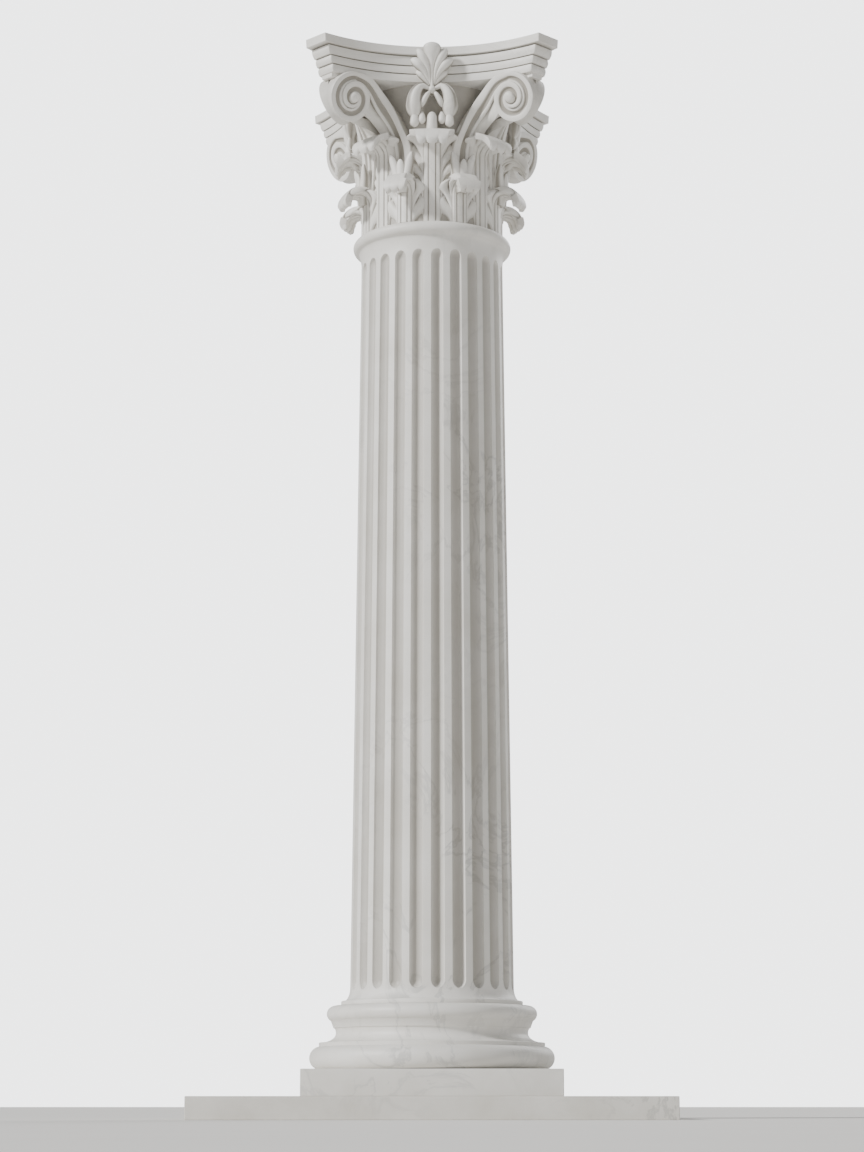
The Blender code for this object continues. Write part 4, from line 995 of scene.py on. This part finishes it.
def honed_marble(name, ground, vein, vein_strength, turn, painted_shade):
    """Fine-grained white marble, honed: a soft sheen, faint veins and clouds, and shade painted into its
    hollows.
    """
    material = bpy.data.materials.new(name)
    material.use_nodes = True
    tree = material.node_tree
    shader = tree.nodes["Principled BSDF"]
    place = node(tree, "ShaderNodeTexCoord")
    mapping = node(tree, "ShaderNodeMapping", {"Rotation": turn}, {"Vector": place.outputs["Object"]})
    where = {"Vector": mapping.outputs["Vector"]}

    # Veins come from a noise bent by itself, kept only where it passes its middle value and only in patches.
    veins = node(tree, "ShaderNodeTexNoise", {"Scale": per_metre(VEIN_SPACING), "Detail": 7.0,
                                              "Roughness": 0.58, "Distortion": 1.4}, where)
    line = node(tree, "ShaderNodeMath", {"operation": "SUBTRACT", 1: 0.5}, {0: veins.outputs["Fac"]})
    size = node(tree, "ShaderNodeMath", {"operation": "ABSOLUTE"}, {0: line.outputs["Value"]})
    thin = node(tree, "ShaderNodeMapRange", {"interpolation_type": "SMOOTHSTEP", "From Max": 0.030,
                                             "To Min": 1.0, "To Max": 0.0}, {"Value": size.outputs["Value"]})
    patches = node(tree, "ShaderNodeTexNoise", {"Scale": per_metre(VEINED_PATCH), "Detail": 3.0}, where)
    veined_here = node(tree, "ShaderNodeMapRange", {"From Min": 0.45, "From Max": 0.70,
                                                    "To Max": vein_strength},
                       {"Value": patches.outputs["Fac"]})
    amount = node(tree, "ShaderNodeMath", {"operation": "MULTIPLY"},
                  {0: thin.outputs["Result"], 1: veined_here.outputs["Result"]})

    # Clouds of the darker ground lie under the veins, and painted shade lies over both where the carving is
    # hollow.
    tone = node(tree, "ShaderNodeTexNoise", {"Scale": per_metre(CLOUD_SIZE), "Detail": 5.0,
                                             "Roughness": 0.6}, where)
    cloud = node(tree, "ShaderNodeMapRange", {"From Min": 0.32, "From Max": 0.68},
                 {"Value": tone.outputs["Fac"]})
    clouds = node(tree, "ShaderNodeMix", {"data_type": "RGBA", 6: linear(ground[1]), 7: linear(ground[0])},
                  {0: cloud.outputs["Result"]})
    veined = node(tree, "ShaderNodeMix", {"data_type": "RGBA", 7: linear(vein)},
                  {0: amount.outputs["Value"], 6: clouds.outputs[2]})
    # Painted shade: a darker colour is mixed in where the hollow attribute is high, up to each stone's
    # strength.
    hollow = node(tree, "ShaderNodeAttribute", {"attribute_name": "hollow"})
    shade = node(tree, "ShaderNodeMapRange", {"From Min": 0.10, "To Max": painted_shade},
                 {"Value": hollow.outputs["Fac"]})
    with_painted_shade = node(tree, "ShaderNodeMix", {"data_type": "RGBA", 7: linear(PAINTED_SHADE_COLOUR)},
                  {0: shade.outputs["Result"], 6: veined.outputs[2]})
    tree.links.new(with_painted_shade.outputs[2], shader.inputs["Base Color"])

    # Honing leaves the chisel's low waves, which break up the sheen, and the stone's fine grain.
    grain = node(tree, "ShaderNodeTexNoise", {"Scale": per_metre(GRAIN_SIZE), "Detail": 2.0}, where)
    chisel = node(tree, "ShaderNodeTexNoise", {"Scale": per_metre(CHISEL_WAVE), "Detail": 3.0}, where)
    rough = node(tree, "ShaderNodeMapRange", {"To Min": 0.38, "To Max": 0.56},
                 {"Value": chisel.outputs["Fac"]})
    tree.links.new(rough.outputs["Result"], shader.inputs["Roughness"])
    soft = node(tree, "ShaderNodeBump", {"Strength": 0.25, "Distance": 0.0015},
                {"Height": chisel.outputs["Fac"]})
    fine = node(tree, "ShaderNodeBump", {"Strength": 0.12, "Distance": 0.0006},
                {"Height": grain.outputs["Fac"], "Normal": soft.outputs["Normal"]})
    tree.links.new(fine.outputs["Normal"], shader.inputs["Normal"])
    shader.inputs["IOR"].default_value = 1.49
    shader.inputs["Metallic"].default_value = 0.0
    return material


def matt_floor():
    """Matt paint on a floor: pale, without gloss, with a trace of unevenness in its tone."""
    material = bpy.data.materials.new("matt_floor_paint")
    material.use_nodes = True
    tree = material.node_tree
    shader = tree.nodes["Principled BSDF"]
    place = node(tree, "ShaderNodeTexCoord")
    tone = node(tree, "ShaderNodeTexNoise", {"Scale": per_metre(FLOOR_TONE_SIZE), "Detail": 3.0},
                {"Vector": place.outputs["Object"]})
    paint = node(tree, "ShaderNodeMix", {"data_type": "RGBA", 6: linear(FLOOR_PAINT[0]),
                                         7: linear(FLOOR_PAINT[1])}, {0: tone.outputs["Fac"]})
    tree.links.new(paint.outputs[2], shader.inputs["Base Color"])
    shader.inputs["Roughness"].default_value = 0.9
    return material


# Stage, light and camera

def make_floor():
    mesh = bpy.data.meshes.new("floor")
    corners = [(x * FLOOR_REACH, y * FLOOR_REACH, 0) for x, y in ((-1, -1), (1, -1), (1, 1), (-1, 1))]
    mesh.from_pydata(corners, [], [(0, 1, 2, 3)])
    mesh.materials.append(matt_floor())
    floor = link_object("floor", mesh)


def make_light():
    """A key light from the front's upper left, weak ones from the right and from behind, and a pale sky.

    The sky behind the column looks brighter than the light it gives, so that the column is still shaded."""
    world = bpy.data.worlds.new("pale_sky")
    world.use_nodes = True
    tree = world.node_tree
    rays = node(tree, "ShaderNodeLightPath")
    brightness = node(tree, "ShaderNodeMapRange", {"To Min": SKY_STRENGTH, "To Max": GROUND_STRENGTH},
                      {"Value": rays.outputs["Is Camera Ray"]})
    sky = tree.nodes["Background"]
    sky.inputs["Color"].default_value = linear(SKY_COLOUR)
    tree.links.new(brightness.outputs["Result"], sky.inputs["Strength"])
    bpy.context.scene.world = world
    for name, source, spread, strength in LIGHTS:
        lamp = bpy.data.lights.new(name, "SUN")
        lamp.angle = math.radians(spread)
        lamp.energy = strength
        obj = link_object(name, lamp)
        obj.rotation_euler = (math.atan2(math.hypot(source[0], source[1]), source[2]), 0.0,
                              math.atan2(source[1], source[0]) + math.pi / 2)


def make_camera():
    """The camera's place, tilt and lens give the perspective of the photograph's own view."""
    data = bpy.data.cameras.new("camera")
    data.lens = CAMERA_LENS
    data.sensor_width = SENSOR_SIZE
    camera = link_object("camera", data)
    camera.location = (0.0, -CAMERA_DISTANCE, CAMERA_HEIGHT)
    camera.rotation_euler = (math.pi / 2 + CAMERA_TILT, 0.0, 0.0)
    bpy.context.scene.camera = camera


def main():
    make_camera()
    make_light()
    make_floor()
    marbles = {name: honed_marble(name, **stone) for name, stone in STONES.items()}
    pieces = [
        (square_block("square_slab", SLAB_LOW, SLAB_HIGH), "slab", "slab_marble", "slab_honed_marble"),
        (square_block("square_plinth", PLINTH_LOW, PLINTH_HIGH), "plinth", "base_marble",
         "plinth_honed_marble"),
        (make_base(), "base", "base_marble", "base_honed_marble"),
        (make_shaft(), "shaft", "shaft_marble", "shaft_honed_marble"),
    ]
    pieces += [(piece, "capital", "capital_marble", "capital_carved_marble") for piece in make_capital()]
    for piece, block, slot, marble in pieces:
        piece.data.materials.append(marbles[marble])
        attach(piece, "root")
        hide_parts(block)


main()
